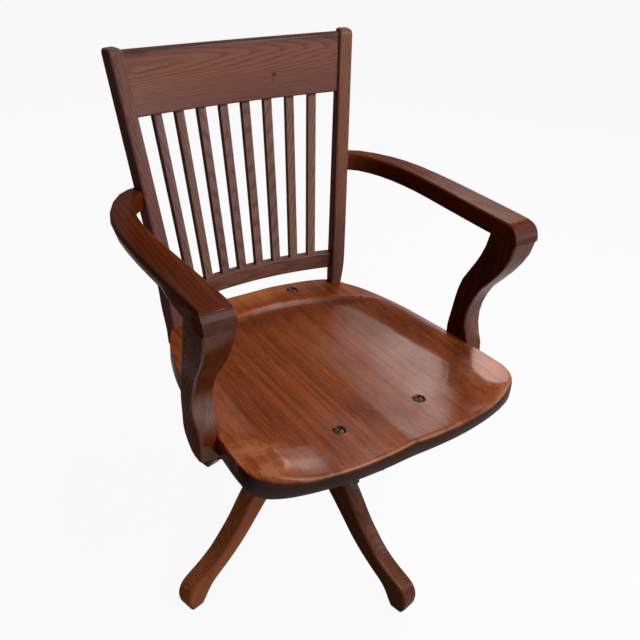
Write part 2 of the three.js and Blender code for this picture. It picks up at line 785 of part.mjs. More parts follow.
// Arm rail: sections along its curve, undercut on the outer side, with a round nose in front
function armRail(cutters) {
  const root = stileCorner(armTop).x;
  const spot = (across, along) => new THREE.Vector3(
    root + across * (armReach - root), along * armLength - armFront, armUnderside,
  );
  const rings = armShares.map(([outerAcross, outerAlong, innerAcross, innerAlong]) => {
    const outer = spot(outerAcross, outerAlong);
    const inner = spot(innerAcross, innerAlong);
    const width = outer.distanceTo(inner);
    const across = outer.clone().sub(inner).divideScalar(width);
    const cut = ease((outerAlong - armUndercutStartShare) / (armUndercutFullShare - armUndercutStartShare));
    const under = [Math.max(cut * armUndercut, weld), Math.max(cut * armUndercutHeight, weld)];
    const radii = [slatChamfer, under, armEdgeRadius, armEdgeRadius];
    return roundedRectangle(0, width, 0, armThickness, radii).reverse()
      .map((point) => inner.clone().addScaledVector(across, point.x).setZ(armUnderside + point.y));
  });
  const board = loft(rings);
  const nose = Array.from({ length: noseSteps + 1 }, (_, i) => {
    const angle = (Math.PI / 2) * (i / noseSteps);
    return new THREE.Vector2(
      -armFront + armNoseRadius * (1 - Math.sin(angle)), armTop - armNoseRadius * (1 - Math.cos(angle)),
    );
  });
  const side = [
    ...nose, new THREE.Vector2(-armFront, armUnderside),
    new THREE.Vector2(armRear + overrun, armUnderside), new THREE.Vector2(armRear + overrun, armTop),
  ];
  let rail = board.intersect(sideways(side, 0, armReach + overrun));
  for (const cutter of cutters) rail = rail.subtract(cutter);
  return rail;
}

// Dowels of the right side: where they lie and which way they run
const armDowelHeight = (armTop + armUnderside) / 2;
const postDowelY = (side) => -postRearY - postReach / 4 - side * (postDowelSpread / 2);
const dowels = [
  ['arm_dowel', stileOutward, stilePlace(armDowelHeight, 0, stileDepthTop / 2)],
  ['stile_dowel', stileBackward, stilePlace(dowelHeight, stileWidth / 2, 0)],
  ['post_front_dowel', new THREE.Vector3(1, 0, 0), new THREE.Vector3(postInnerX, postDowelY(1), dowelHeight)],
  ['post_rear_dowel', new THREE.Vector3(1, 0, 0), new THREE.Vector3(postInnerX, postDowelY(-1), dowelHeight)],
];

function dowelSolid([, direction, centre], grow) {
  return rodAlong(direction, centre, dowelRadius + grow, dowelLength + 2 * grow);
}

// Leg: its side profile given its thickness, coped to the hub, with a tenon into it
const legRun = legReach - hubRadius;
function legTenon(grow) {
  const low = legRoot + legTenonMargin;
  const high = hubTop - legTenonMargin;
  const half = legTenonThickness / 2 + grow;
  return block(
    hubRadius - legTenonReach - grow, hubRadius + gap + legRounding, -half, half, low - grow, high + grow,
  );
}

function legSolid() {
  const spot = ([out, up]) => new THREE.Vector2(hubRadius + out * legRun, up * hubTop);
  const profile = [...smoothLine(legBottomShares.map(spot)), ...smoothLine(legTopShares.map(spot))];
  const board = extruded(profile, legThickness, legRounding).rotateX(Math.PI / 2);
  const leg = solidOf(board.translate(0, legThickness / 2, 0));
  const cope = turnedRod(hubRadius + gap, hubBottom - hubRadius, hubTop + hubRadius);
  const level = block(-legReach, 2 * legReach, -legThickness, legThickness, 0, hubTop);
  return leg.intersect(level).subtract(cope).add(legTenon(0));
}

function hubSolid() {
  let hub = turned([
    [0, hubBottom], [hubRadius - hubRounding, hubBottom], [hubRadius, hubBottom + hubRounding],
    [hubRadius, hubTop - hubRounding / 2], [hubRadius - hubRounding / 2, hubTop], [0, hubTop],
  ]);
  hub = hub.subtract(turnedRod(socketRadius + gap, hubBottom - overrun, hubTop + overrun));
  for (let i = 0; i < legCount; i += 1) hub = hub.subtract(legTenon(gap).rotate([0, 0, legAngle(i)]));
  for (let i = 0; i < legCount; i += 1) hub = hub.subtract(socketScrew(i, gap));
  return hub;
}

function legAngle(index) {
  return THREE.MathUtils.radToDeg(legTurn) + (360 * index) / legCount;
}

// Swivel socket, its screws and washer
function socketTube() {
  const flangeTop = socketFlangeBottom + flangeThickness;
  const bore = sleeveRadius + runningGap;
  let tube = turned([
    [bore, socketBottom], [socketRadius, socketBottom], [socketRadius, socketFlangeBottom],
    [socketFlangeRadius, socketFlangeBottom], [socketFlangeRadius, flangeTop], [bore, flangeTop],
    [bore, socketBottom],
  ]);
  for (let i = 0; i < legCount; i += 1) tube = tube.subtract(socketScrew(i, gap));
  return tube;
}

// Countersunk, its head level with the flange
function socketScrew(index, grow) {
  const top = socketFlangeBottom + flangeThickness;
  const head = top - socketScrewHeadHeight;
  const past = grow > 0 ? overrun : 0;
  const screw = turned([
    [0, top - socketScrewLength - grow], [socketScrewRadius + grow, top - socketScrewLength - grow],
    [socketScrewRadius + grow, head], [socketScrewHeadRadius + grow, top],
    [socketScrewHeadRadius + grow, top + past], [0, top + past],
  ], boltSteps);
  const angle = THREE.MathUtils.degToRad(legAngle(index + 0.5));
  return screw.translate(socketScrewCircle * Math.cos(angle), socketScrewCircle * Math.sin(angle), 0);
}

function keySolid(grow) {
  const bottom = sleeveTop - keyDrop;
  const past = grow > 0 ? overrun : 0;
  return block(
    spindleRadius - keywayDepth + gap, sleeveRadius + past, -keyWidth / 2 - grow, keyWidth / 2 + grow,
    bottom - grow, bottom + keyHeight + grow,
  );
}

function swivelSleeve() {
  const bore = spindleRadius + runningGap;
  const sleeve = turned([
    [bore, sleeveBottom], [sleeveRadius, sleeveBottom], [sleeveRadius, sleeveFlangeBottom],
    [sleeveFlangeRadius, sleeveFlangeBottom], [sleeveFlangeRadius, sleeveTop], [bore, sleeveTop],
    [bore, sleeveBottom],
  ]);
  return sleeve.subtract(keySolid(gap));
}

function heightSpindle() {
  const keywayTop = wheelTop - keyWidth;
  const keyway = block(
    spindleRadius - keywayDepth, spindleRadius + overrun, -keyWidth / 2 - gap, keyWidth / 2 + gap,
    spindleBottom - overrun, keywayTop,
  );
  return turnedRod(spindleRadius, spindleBottom, spindleTop).subtract(keyway);
}

function handwheel() {
  const middle = (wheelBottom + wheelTop) / 2;
  const rimCentre = wheelRadius - wheelRimRadius;
  const rimProfile = circle(rimCentre, middle, wheelRimRadius, coarseSteps).map(({ x, y }) => [x, y]);
  let wheel = turned([...rimProfile, rimProfile[0]]);
  for (let i = 0; i < wheelSpokeCount; i += 1) {
    const angle = (2 * Math.PI * i) / wheelSpokeCount;
    const direction = new THREE.Vector3(Math.cos(angle), Math.sin(angle), 0);
    const centre = direction.clone().multiplyScalar(rimCentre / 2).setZ(middle);
    wheel = wheel.add(rodAlong(direction, centre, wheelSpokeRadius, rimCentre, coarseSteps));
  }
  wheel = wheel.add(turnedRod(wheelBossRadius, wheelBottom, wheelTop));
  return wheel.subtract(turnedRod(spindleRadius + runningGap, wheelBottom - overrun, wheelTop + overrun));
}

// Tilt yoke: a boss on the spindle, a cross barrel at the pivot and an arm to the spring
function tiltYoke() {
  const boss = turnedRod(yokeBossRadius, yokeBottom, pivotHeight);
  const alongX = new THREE.Vector3(1, 0, 0);
  const pivot = new THREE.Vector3(0, 0, pivotHeight);
  const barrel = rodAlong(alongX, pivot, barrelRadius, 2 * barrelHalfLength, roundSteps);
  const drop = pivotHeight - tipTop;
  const spot = ([out, down]) => new THREE.Vector2(-out * yokeArmReach, pivotHeight - down * drop);
  const profile = [
    ...smoothLine(yokeTopShares.map(spot)), new THREE.Vector2(-yokeArmReach, tipTop),
    new THREE.Vector2(-yokeArmReach, tipBottom), ...smoothLine(yokeBottomShares.map(spot)),
  ];
  const arm = sideways(profile, -yokeArmWidth / 2, yokeArmWidth / 2);
  const slotX = rodRadius + runningGap;
  const slotY = rodSlotLength / 2;
  const slot = block(-slotX, slotX, -rodY - slotY, -rodY + slotY, tipBottom - overrun, tipTop + overrun);
  const boreLength = 2 * (barrelHalfLength + overrun);
  const bore = rodAlong(alongX, pivot, pivotPinRadius + runningGap, boreLength, roundSteps);
  const socket = turnedRod(spindleRadius + gap, yokeBottom - overrun, spindleTop + gap);
  return boss.add(barrel).add(arm).subtract(slot).subtract(bore).subtract(socket);
}

function pivotPin() {
  const end = barrelHalfLength + gap + earThickness + pivotPinRadius / 2;
  const head = barrelHalfLength + gap + earThickness + gap;
  const shank = turned([
    [0, -end], [pivotPinRadius, -end], [pivotPinRadius, head], [pivotPinHeadRadius, head],
    [pivotPinHeadRadius, head + pivotPinHeadLength], [0, head + pivotPinHeadLength],
  ]);
  return shank.rotate([0, 90, 0]).translate(0, 0, pivotHeight);
}

// Spring: one tube wound up from the washer to the yoke, its ends straight along the rod
function springPath() {
  const radius = springRadius - springWireRadius;
  const straight = 2 * springWireRadius;
  const wound = springHeight - 2 * straight;
  const steps = Math.round(springCurls * springSteps);
  const points = [new THREE.Vector3(radius, 0, 0)];
  for (let i = 0; i <= steps; i += 1) {
    const angle = (2 * Math.PI * springCurls * i) / steps;
    const height = straight + (wound * i) / steps;
    points.push(new THREE.Vector3(radius * Math.cos(angle), radius * Math.sin(angle), height));
  }
  points.push(points[points.length - 1].clone().setZ(springHeight));
  return points;
}

function springSolid() {
  const path = springPath();
  let normal = new THREE.Vector3(1, 0, 0);
  const rings = path.map((point, i) => {
    const before = path[Math.max(i - 1, 0)];
    const after = path[Math.min(i + 1, path.length - 1)];
    const along = after.clone().sub(before).normalize();
    normal = normal.clone().addScaledVector(along, -normal.dot(along)).normalize();
    const across = along.clone().cross(normal);
    return Array.from({ length: springSides }, (_, side) => {
      const angle = (2 * Math.PI * side) / springSides;
      return point.clone().addScaledVector(normal, springWireRadius * Math.cos(angle))
        .addScaledVector(across, springWireRadius * Math.sin(angle));
    });
  });
  return loft(rings).translate(0, -rodY, springBottom);
}

function springLeastGap() {
  const fineSteps = springSteps * springSteps;
  const curve = new THREE.CatmullRomCurve3(springPath()).getPoints(Math.round(springCurls * fineSteps));
  const halfCurl = fineSteps / 2;
  let least = springHeight;
  for (let i = 0; i < curve.length; i += 1) {
    for (let j = i + halfCurl; j < curve.length; j += 1) {
      least = Math.min(least, curve[i].distanceTo(curve[j]) - 2 * springWireRadius);
    }
  }
  return least;
}

function tensionRod() {
  const rod = turnedRod(rodRadius, rodBottom, rodPivotHeight, boltSteps).translate(0, -rodY, 0);
  const half = rodEyeWidth / 2;
  const eye = sideways(circle(-rodY, rodPivotHeight, rodEyeRadius, 2 * boltSteps), -half, half);
  const boreCircle = circle(-rodY, rodPivotHeight, rodPinRadius + runningGap);
  const bore = sideways(boreCircle, -rodEyeWidth, rodEyeWidth);
  return rod.add(eye).subtract(bore);
}

function tensionKnob() {
  const steps = lobeSteps * knobLobes;
  const rim = Array.from({ length: steps }, (_, i) => {
    const angle = (2 * Math.PI * i) / steps;
    const radius = knobRadius + knobLobeHeight * Math.cos(knobLobes * angle);
    return new THREE.Vector2(radius * Math.cos(angle), radius * Math.sin(angle));
  });
  const bore = circle(0, 0, rodRadius + gap);
  const knob = extruded(rim, knobHeight, 0, [bore.reverse()]);
  return solidOf(knob.translate(0, -rodY, knobTop - knobHeight));
}

// Spider: two long arms and two cross bars, with ears on the pivot and lugs on the rod
function seatSpider() {
  const half = spiderArmWidth / 2;
  const plate = (fromX, toX, fromY, toY) => block(fromX, toX, fromY, toY, spiderBottom, spiderTop);
  let spider = plate(-spiderArmX - half, -spiderArmX + half, -spiderFront, spiderRear)
    .add(plate(spiderArmX - half, spiderArmX + half, -spiderFront, spiderRear))
    .add(plate(-spiderArmX, spiderArmX, -rodY - spiderFrontBar / 2, -rodY + spiderFrontBar / 2))
    .add(plate(-spiderArmX, spiderArmX, -spiderMiddleBar / 2, spiderMiddleBar / 2));
  const earInner = barrelHalfLength + gap;
  const ear = hanger(0, pivotHeight, earRadius, pivotPinRadius + gap, spiderMiddleBar / 3);
  const lugInner = rodEyeWidth / 2 + runningGap;
  const lug = hanger(-rodY, rodPivotHeight, rodEyeRadius, rodPinRadius + gap, spiderFrontBar / 3);
  for (const [piece, inner, thickness] of [[ear, earInner, earThickness], [lug, lugInner, lugThickness]]) {
    spider = spider.add(sideways(piece.outline, inner, inner + thickness, [piece.bore]));
    spider = spider.add(sideways(piece.outline, -inner - thickness, -inner, [piece.bore]));
  }
  for (const [, x, y] of boltPlaces) {
    spider = spider.subtract(turnedRod(boltRadius + gap, spiderBottom - overrun, spiderTop + overrun)
      .translate(x, y, 0));
  }
  return spider;
}

// A hanging ear: a round end about its bore, widening up into the plate
function hanger(y, z, radius, boreRadius, halfTop) {
  const end = Array.from({ length: boltSteps + 1 }, (_, i) => {
    const angle = Math.PI + (Math.PI * i) / boltSteps;
    return new THREE.Vector2(y + radius * Math.cos(angle), z + radius * Math.sin(angle));
  });
  const top = spiderBottom + spiderThickness / 2;
  const hung = [...end, new THREE.Vector2(y + halfTop, top), new THREE.Vector2(y - halfTop, top)];
  return { outline: hung, bore: circle(y, z, boreRadius).reverse() };
}

function rodEyePin() {
  const half = rodEyeWidth / 2 + runningGap + lugThickness + gap;
  const centre = new THREE.Vector3(0, -rodY, rodPivotHeight);
  return rodAlong(new THREE.Vector3(1, 0, 0), centre, rodPinRadius, 2 * half);
}

function seatBolt(x, y) {
  const top = saddleTop(x, y) - boltRecess;
  const head = top - boltHeadHeight;
  const end = spiderBottom - gap - nutHeight - boltPastNut;
  return turned([
    [0, end], [boltRadius, end], [boltRadius, head], [boltHeadRadius, head],
    [boltHeadRadius, top - boltHeadHeight / 2], [boltHeadRadius / 2, top], [0, top],
  ], boltSteps).translate(x, y, 0);
}

function boltNut(x, y) {
  const flats = circle(0, 0, nutRadius, boltSteps / 2);
  const bore = circle(0, 0, boltRadius + gap).reverse();
  const nut = extruded(flats, nutHeight, 0, [bore]);
  return solidOf(nut.translate(x, y, spiderBottom - gap - nutHeight));
}

// Base
place('base_hub', hubSolid(), legOak());
['front_right', 'rear_right', 'rear_left', 'front_left'].forEach((corner, i) => {
  const name = `leg_${corner}`;
  place(name, legSolid().rotate([0, 0, legAngle(i) - 90]), legOak());
});
place('socket_tube', socketTube(), blackIron());
for (let i = 0; i < legCount; i += 1) place(`socket_screw_${i + 1}`, socketScrew(i, 0), steel());
place('thrust_washer', turnedTube(
  washerRadius, sleeveRadius + runningGap, washerBottom, washerBottom + washerThickness,
), steel());

// Swivel and height screw
place('swivel_sleeve', swivelSleeve(), blackIron());
place('spindle_key', keySolid(0), steel());
place('height_handwheel', handwheel(), blackIron());
place('height_spindle', heightSpindle(), steel());

// Tilt
place('tilt_yoke', tiltYoke(), blackIron());
place('tilt_pivot_pin', pivotPin(), steel());
place('tension_spring', springSolid(), steel());
place('tension_rod', tensionRod(), steel());
place('spring_washer', turnedTube(
  springWasherRadius, rodRadius + gap, springWasherBottom, springWasherBottom + washerThickness,
).translate(0, -rodY, 0), steel());
place('tension_knob', tensionKnob(), blackIron());
place('rod_eye_pin', rodEyePin(), steel());
console.log(`least gap of tension_spring to itself ${springLeastGap().toFixed(2)} mm`);

// Seat
const notch = stileNotch();
const post = postSolid(0);
const postCut = postSolid(gap);
const doweled = dowels.map((dowel) => dowelSolid(dowel, gap));
const seatCutters = [notch, postCut, ...doweled.slice(1)];
place('seat_plank', seatPlank([...seatCutters, ...seatCutters.map(mirrored)]), seatOak());
place('seat_spider', seatSpider(), blackIron());
for (const [corner, x, y] of boltPlaces) {
  place(`seat_bolt_${corner}`, seatBolt(x, y), darkBolt());
  place(`bolt_nut_${corner}`, boltNut(x, y), darkBolt());
}

// Back
const slatCutters = Array.from({ length: slatCount }, (_, i) => slatSolid(i, gap));
const stileGrown = stileSolid(gap);
const boards = [['crest_rail', crestBoard], ['lower_rail', lowerBoard]];
let stile = stileSolid(0).subtract(doweled[0]).subtract(doweled[1]);
for (const [name, board] of boards) {
  const tenons = bentBoard(board, 0, tenonShoulder);
  const mortises = bentBoard(board, gap, tenonShoulder);
  let rail = bentBoard(board).subtract(stileGrown).subtract(mirrored(stileGrown)).add(tenons);
  for (const cutter of slatCutters) rail = rail.subtract(cutter);
  stile = stile.subtract(mortises);
  place(name, rail, frameOak());
}
place('stile_right', stile, frameOak());
place('stile_left', mirrored(stile), frameOak());
for (let i = 0; i < slatCount; i += 1) place(`slat_${i + 1}`, slatSolid(i, 0), slatOak());

// Arms
const rail = armRail([stileGrown, postTenon(gap), doweled[0]]);
place('arm_rail_right', rail, armOak());
place('arm_rail_left', mirrored(rail), armOak());
const postDrilled = [2, 3].reduce((solid, i) => solid.subtract(doweled[i]), post.add(postTenon(0)));
place('arm_post_right', postDrilled, frameOak());
place('arm_post_left', mirrored(postDrilled), frameOak());
for (const dowel of dowels) {
  const solid = dowelSolid(dowel, 0);
  place(`${dowel[0]}_right`, solid, dowelWood());
  place(`${dowel[0]}_left`, mirrored(solid), dowelWood());
}

chair.position.y = -axisSetForward;

export default chair;
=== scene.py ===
# Bankers swivel chair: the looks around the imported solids, in metres, +Z up, the seat facing -Y.
import functools
import math

import bmesh
import bpy
from bpy.props import FloatProperty, FloatVectorProperty, IntProperty, PointerProperty
from mathutils import Matrix, Vector


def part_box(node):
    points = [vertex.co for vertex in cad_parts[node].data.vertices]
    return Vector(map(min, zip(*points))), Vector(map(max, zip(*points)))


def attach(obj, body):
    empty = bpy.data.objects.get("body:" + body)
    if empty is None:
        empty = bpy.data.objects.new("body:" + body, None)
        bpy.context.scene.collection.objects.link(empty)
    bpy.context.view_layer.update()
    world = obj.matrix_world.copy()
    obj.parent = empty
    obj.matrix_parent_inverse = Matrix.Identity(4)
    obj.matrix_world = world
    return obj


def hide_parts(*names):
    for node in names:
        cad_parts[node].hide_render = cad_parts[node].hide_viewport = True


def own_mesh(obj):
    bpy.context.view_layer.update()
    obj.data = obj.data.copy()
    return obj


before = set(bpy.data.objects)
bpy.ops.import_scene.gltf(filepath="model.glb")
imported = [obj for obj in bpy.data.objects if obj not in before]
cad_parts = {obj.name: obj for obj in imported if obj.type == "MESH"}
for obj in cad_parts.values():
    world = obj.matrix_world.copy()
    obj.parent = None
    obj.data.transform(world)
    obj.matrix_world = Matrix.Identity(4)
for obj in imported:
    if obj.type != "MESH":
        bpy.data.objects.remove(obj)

bl_info = {
    "name": "Bankers swivel chair",
    "version": (1, 0, 0),
    "blender": (4, 5, 0),
    "location": "3D View > Sidebar > Chair",
    "description": "Builds a stained oak swivel armchair on its height screw and sprung tilt",
    "category": "Add Mesh",
}

MM = 0.001
TINY = 1e-6
UP = Vector((0, 0, 1))
WIDE, DEEP = (1, 0, 0), (0, 1, 0)
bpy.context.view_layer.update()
CORNERS = ("front_right", "rear_right", "rear_left", "front_left")
# The seat bolts, each with the turn of its slot in degrees
BOLT_SLOTS = {"front_left": 20, "front_right": 65, "rear_left": 110, "rear_right": 40}


def corners(node):
    """A node's lowest and highest corner."""
    return [Vector(corner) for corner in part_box(node)]


def upright(node):
    """The middle line of a round, upright node at floor level, and its radius, foot and top."""
    low, high = corners(node)
    middle = (low + high) / 2
    middle.z = 0
    return middle, (high.x - low.x) / 2, low.z, high.z


SEAT_LOW, SEAT_HIGH = corners("seat_plank")
AXIS, SCREW_RADIUS, SCREW_FOOT, SCREW_TOP = upright("height_spindle")


def paint(red, green, blue):
    """A colour of the 0 to 255 scale as plain light."""
    return tuple(
        share / 12.92 if share <= 0.04045 else ((share + 0.055) / 1.055) ** 2.4
        for share in (red / 255, green / 255, blue / 255)
    )


def colour(name, description, *levels):
    return FloatVectorProperty(
        name=name, description=description, default=paint(*levels), size=3, min=0, max=1, subtype="COLOR",
    )


def length(name, description, millimetres):
    return FloatProperty(
        name=name, description=description, default=millimetres * MM, min=0, precision=5, unit="LENGTH",
    )


def power(name, description, watts):
    return FloatProperty(name=name, description=description, default=watts, min=0, unit="POWER")


def angle(name, description, degrees):
    return FloatProperty(name=name, description=description, default=math.radians(degrees), unit="ROTATION")


def share(name, description, value):
    return FloatProperty(name=name, description=description, default=value, min=0, max=1, subtype="FACTOR")


class ChairWood(bpy.types.PropertyGroup):
    seat: colour("Seat", "Stain of the seat", 142, 68, 28)
    back: colour("Back", "Stain of the rails and stiles", 112, 75, 66)
    slats: colour("Slats", "Stain of the slats", 118, 89, 81)
    arms: colour("Arms", "Stain of the arm rails", 80, 33, 10)
    posts: colour("Posts", "Stain of the arm posts", 92, 44, 22)
    legs: colour("Legs", "Stain of the legs and hub", 156, 86, 46)
    # Painted shade: the darker stain of the front right leg stands in for the shade on it
    dark_leg: colour("Dark leg", "Stain of the leg cut from darker wood", 80, 44, 32)
    dowel: colour("Dowel", "Bare wood of the dowels", 150, 108, 68)
    dowel_fibre: colour("Dowel fibre", "Pale fibres of the dowels", 206, 168, 120)
    pores: colour("Pores", "Dark stain left in the pores", 38, 18, 11)
    # Grime and shade: real dirt and dark joints, and painted shade on the seat's side wall, rear step and right
    # rim
    worn_and_highlight: colour("Worn edge", "Wood where the stain is rubbed away", 178, 118, 84)
    # Worn and highlighted: stain rubbed away, and a painted highlight along the edges, most on the arms and
    # posts
    grime: colour("Grime", "Old polish and dirt in the corners", 24, 14, 10)
    golden: colour("Golden patch", "Thin stain where the seat shows its own wood", 176, 104, 34)
    # Dark patch: thick old polish with a painted dark sheen in the seat's hollow
    polish_and_sheen: colour("Dark patch", "Old polish lying thick on the seat", 86, 46, 38)
    # Painted highlight on the seat's right ear, pale like polish rubbed thin
    rubbed: colour("Rubbed bare", "Polish rubbed thin and pale by clothes", 196, 134, 100)
    # Painted highlight on the posts' lower fronts, where they kick forward
    painted_kick_highlight: colour("Scuffed", "Grey bloom of polish on the posts' lower fronts", 158, 142, 140)
    # Polish darkened by hands, with a painted grey sheen on the arms' rounded ends
    handled_and_sheen: colour("Handled", "Polish darkened by hands at the arms' ends", 74, 52, 48)
    ring_spacing: length("Ring spacing", "Width of one year's growth", 3.6)
    pith_distance: length("Pith distance", "From a board to the middle of its log", 120)
    edge_rounding: length("Edge rounding", "Wear of the boards' sharp edges", 1.1)
    arm_rounding: length("Arm rounding", "Rounding of the arms' and posts' long edges", 3.6)
    crest_bow: length("Crest bow", "How far the crest rail is bent back at its middle", 29)
    rail_bow: length("Rail bow", "How far the lower rail is bent back at its middle", 23.5)
    nose_rounding: length("Nose rounding", "Rounding of the arms' front ends", 28)


class ChairSeat(bpy.types.PropertyGroup):
    half_width: length("Half width", "Half the seat's greatest width", 257.5)
    depth: length("Depth", "From the rear edge to the front edge", 502)
    undercut: length("Undercut", "How far the lower edge is drawn in", 2.5)
    undercut_height: length("Undercut height", "Height of the drawn-in lower edge", 8)
    edge_rounding: length("Edge rounding", "Radius of the upper edge", 3)
    lip_radius: length("Lip radius", "Rounding of the front edge", 10)
    saddle: length("Saddle depth", "Deepest hollow under the rim", 15.5)
    step: length("Rear step", "Depth of the hollow at the rear step", 11.5)
    step_width: length("Step width", "Length of the slope at the rear step", 13)
    rim_width: length("Rear rim", "Flat rim behind the hollow", 55)
    rim_bow: length("Rim bow", "How far the step curves forward at the sides", 122)
    side_rim: length("Side rim", "Flat rim beside the hollow", 5)
    side_slope: length("Side slope", "Width of the slope from the rim into the hollow", 62)
    ear_width: length("Ear width", "Flat ear at each front corner", 60)
    ear_slope: length("Ear slope", "Width of the cove beside an ear", 75)
    ear_reach: length("Ear reach", "From the front edge back to where an ear starts", 130)
    ear_growth: length("Ear growth", "Length over which an ear widens", 60)
    ear_rounding: length("Ear rounding", "Length over which an ear narrows to the front edge", 50)
    ridge: length("Ridge", "Height of the ridge along the middle", 3.5)
    ridge_width: length("Ridge width", "Half the width of the ridge", 34)
    board_width: length("Board width", "Width of the boards glued edge to edge", 84)
    around: IntProperty(name="Steps around", description="Points along the outline", default=380, min=60)
    rings: IntProperty(name="Rings", description="Rings of points up to the middle", default=84, min=12)


class ChairMetal(bpy.types.PropertyGroup):
    iron: colour("Iron", "Black finish of the castings", 38, 36, 34)
    rust: colour("Rust", "Brown bloom on old iron", 88, 52, 32)
    steel: colour("Steel", "Turned steel", 150, 146, 138)
    bolt: colour("Bolt", "Browned bolt heads", 52, 36, 28)
    edge_rounding: length("Edge rounding", "Softness of the castings' edges", 1.2)
    screw_pitch: length("Screw pitch", "Rise of the height screw in a turn", 6)
    screw_depth: length("Screw depth", "Depth of the height screw's thread", 1.1)
    rod_pitch: length("Rod pitch", "Rise of the tension rod in a turn", 1.75)
    rod_depth: length("Rod depth", "Depth of the tension rod's thread", 0.7)
    slot_width: length("Slot width", "Width of a bolt's slot", 2.2)
    slot_depth: length("Slot depth", "Depth of a bolt's slot", 1.8)
    wire: length("Spring wire", "Thickness of the spring's wire", 5)
    curls: FloatProperty(name="Curls", description="Turns of the spring", default=4.5, min=1)


class ChairStage(bpy.types.PropertyGroup):
    floor: share("Floor", "Paleness of the floor", 0.5)
    window: power("Window", "Window light, rear right", 28)
    doorway: power("Doorway", "Low light from the right", 9)
    skylight: power("Skylight", "Soft light from above", 66)
    room: share("Room", "Dim light from all round", 0.1)
    lens: FloatProperty(name="Lens", description="Focal length", default=45.61, min=1, unit="CAMERA")
    eye: FloatVectorProperty(
        name="Eye", description="Where the camera stands", default=(-0.6906, -0.9682, 1.2085), size=3,
        subtype="XYZ", unit="LENGTH",
    )
    turn: angle("Turn", "View turned from +Y to +X", 36.15)
    dip: angle("Dip", "View below the level", 31.14)
    roll: angle("Roll", "View rolled about its own line", 3.83)
    shift: FloatProperty(name="Shift", description="Framing shift, in picture widths", default=0.0059)


# Nodes of materials


def plug(tree, node, sockets):
    """Gives each named socket of a node a value or another node's output."""
    for name, value in sockets.items():
        socket = node.inputs[name]
        if isinstance(value, bpy.types.NodeSocket):
            tree.links.new(value, socket)
        else:
            socket.default_value = (*value, 1) if socket.type == "RGBA" else value


def make(tree, kind, sockets, **settings):
    """A new node with its settings and sockets."""
    node = tree.nodes.new(kind)
    for name, value in settings.items():
        setattr(node, name, value)
    plug(tree, node, sockets)
    return node


def maths(tree, operation, *values):
    return make(tree, "ShaderNodeMath", dict(enumerate(values)), operation=operation).outputs[0]


def times(tree, *values):
    return maths(tree, "MULTIPLY", *values)


def vectors(tree, operation, *values):
    return make(tree, "ShaderNodeVectorMath", dict(enumerate(values)), operation=operation).outputs[0]


def stretched(tree, vector, across, along):
    return vectors(tree, "MULTIPLY", vector, (across, across, along))


def parts_of(tree, vector):
    return make(tree, "ShaderNodeSeparateXYZ", {0: vector}).outputs


def attribute(tree, name, output="Fac"):
    return make(tree, "ShaderNodeAttribute", {}, attribute_name=name).outputs[output]


def ramp(tree, value, low, high, start=0.0, end=1.0):
    """A smooth step from start to end as value goes from low to high."""
    sockets = {"Value": value, "From Min": low, "From Max": high, "To Min": start, "To Max": end}
    return make(tree, "ShaderNodeMapRange", sockets, interpolation_type="SMOOTHSTEP").outputs[0]


def noise(tree, vector, scale=1.0, detail=2.0, roughness=0.5):
    sockets = {"Vector": vector, "Scale": scale, "Detail": detail, "Roughness": roughness}
    return make(tree, "ShaderNodeTexNoise", sockets).outputs["Fac"]


def blended(tree, amount, first, second):
    return make(tree, "ShaderNodeMix", {0: amount, 6: first, 7: second}, data_type="RGBA").outputs[2]


def layered(tree, ground, mask, strength, tint):
    """The ground with a tint laid over it where the mask lies."""
    return blended(tree, times(tree, mask, strength), ground, tint)


def bump(tree, height, strength, distance):
    sockets = {"Height": height, "Strength": strength, "Distance": distance}
    return make(tree, "ShaderNodeBump", sockets).outputs[0]


def effect(name, **inputs):
    """Makes a node group, built once, of a function of its inputs that gives its named outputs."""
    def wrap(build):
        @functools.wraps(build)
        def place(tree, **values):
            group = bpy.data.node_groups.get(name)
            if not group:
                group = bpy.data.node_groups.new(name, "ShaderNodeTree")
                for title, value in inputs.items():
                    kind = "NodeSocketFloat" if isinstance(value, float) else "NodeSocketVector"
                    made = group.interface.new_socket(title, in_out="INPUT", socket_type=kind)
                    made.default_value = value
                start = make(group, "NodeGroupInput", {})
                outputs = build(group, *(start.outputs[title] for title in inputs))
                for title, value in outputs.items():
                    kind = "NodeSocketVector" if value.type == "VECTOR" else "NodeSocketFloat"
                    group.interface.new_socket(title, in_out="OUTPUT", socket_type=kind)
                make(group, "NodeGroupOutput", outputs)
            return make(tree, "ShaderNodeGroup", values, node_tree=group).outputs
        return place
    return wrap


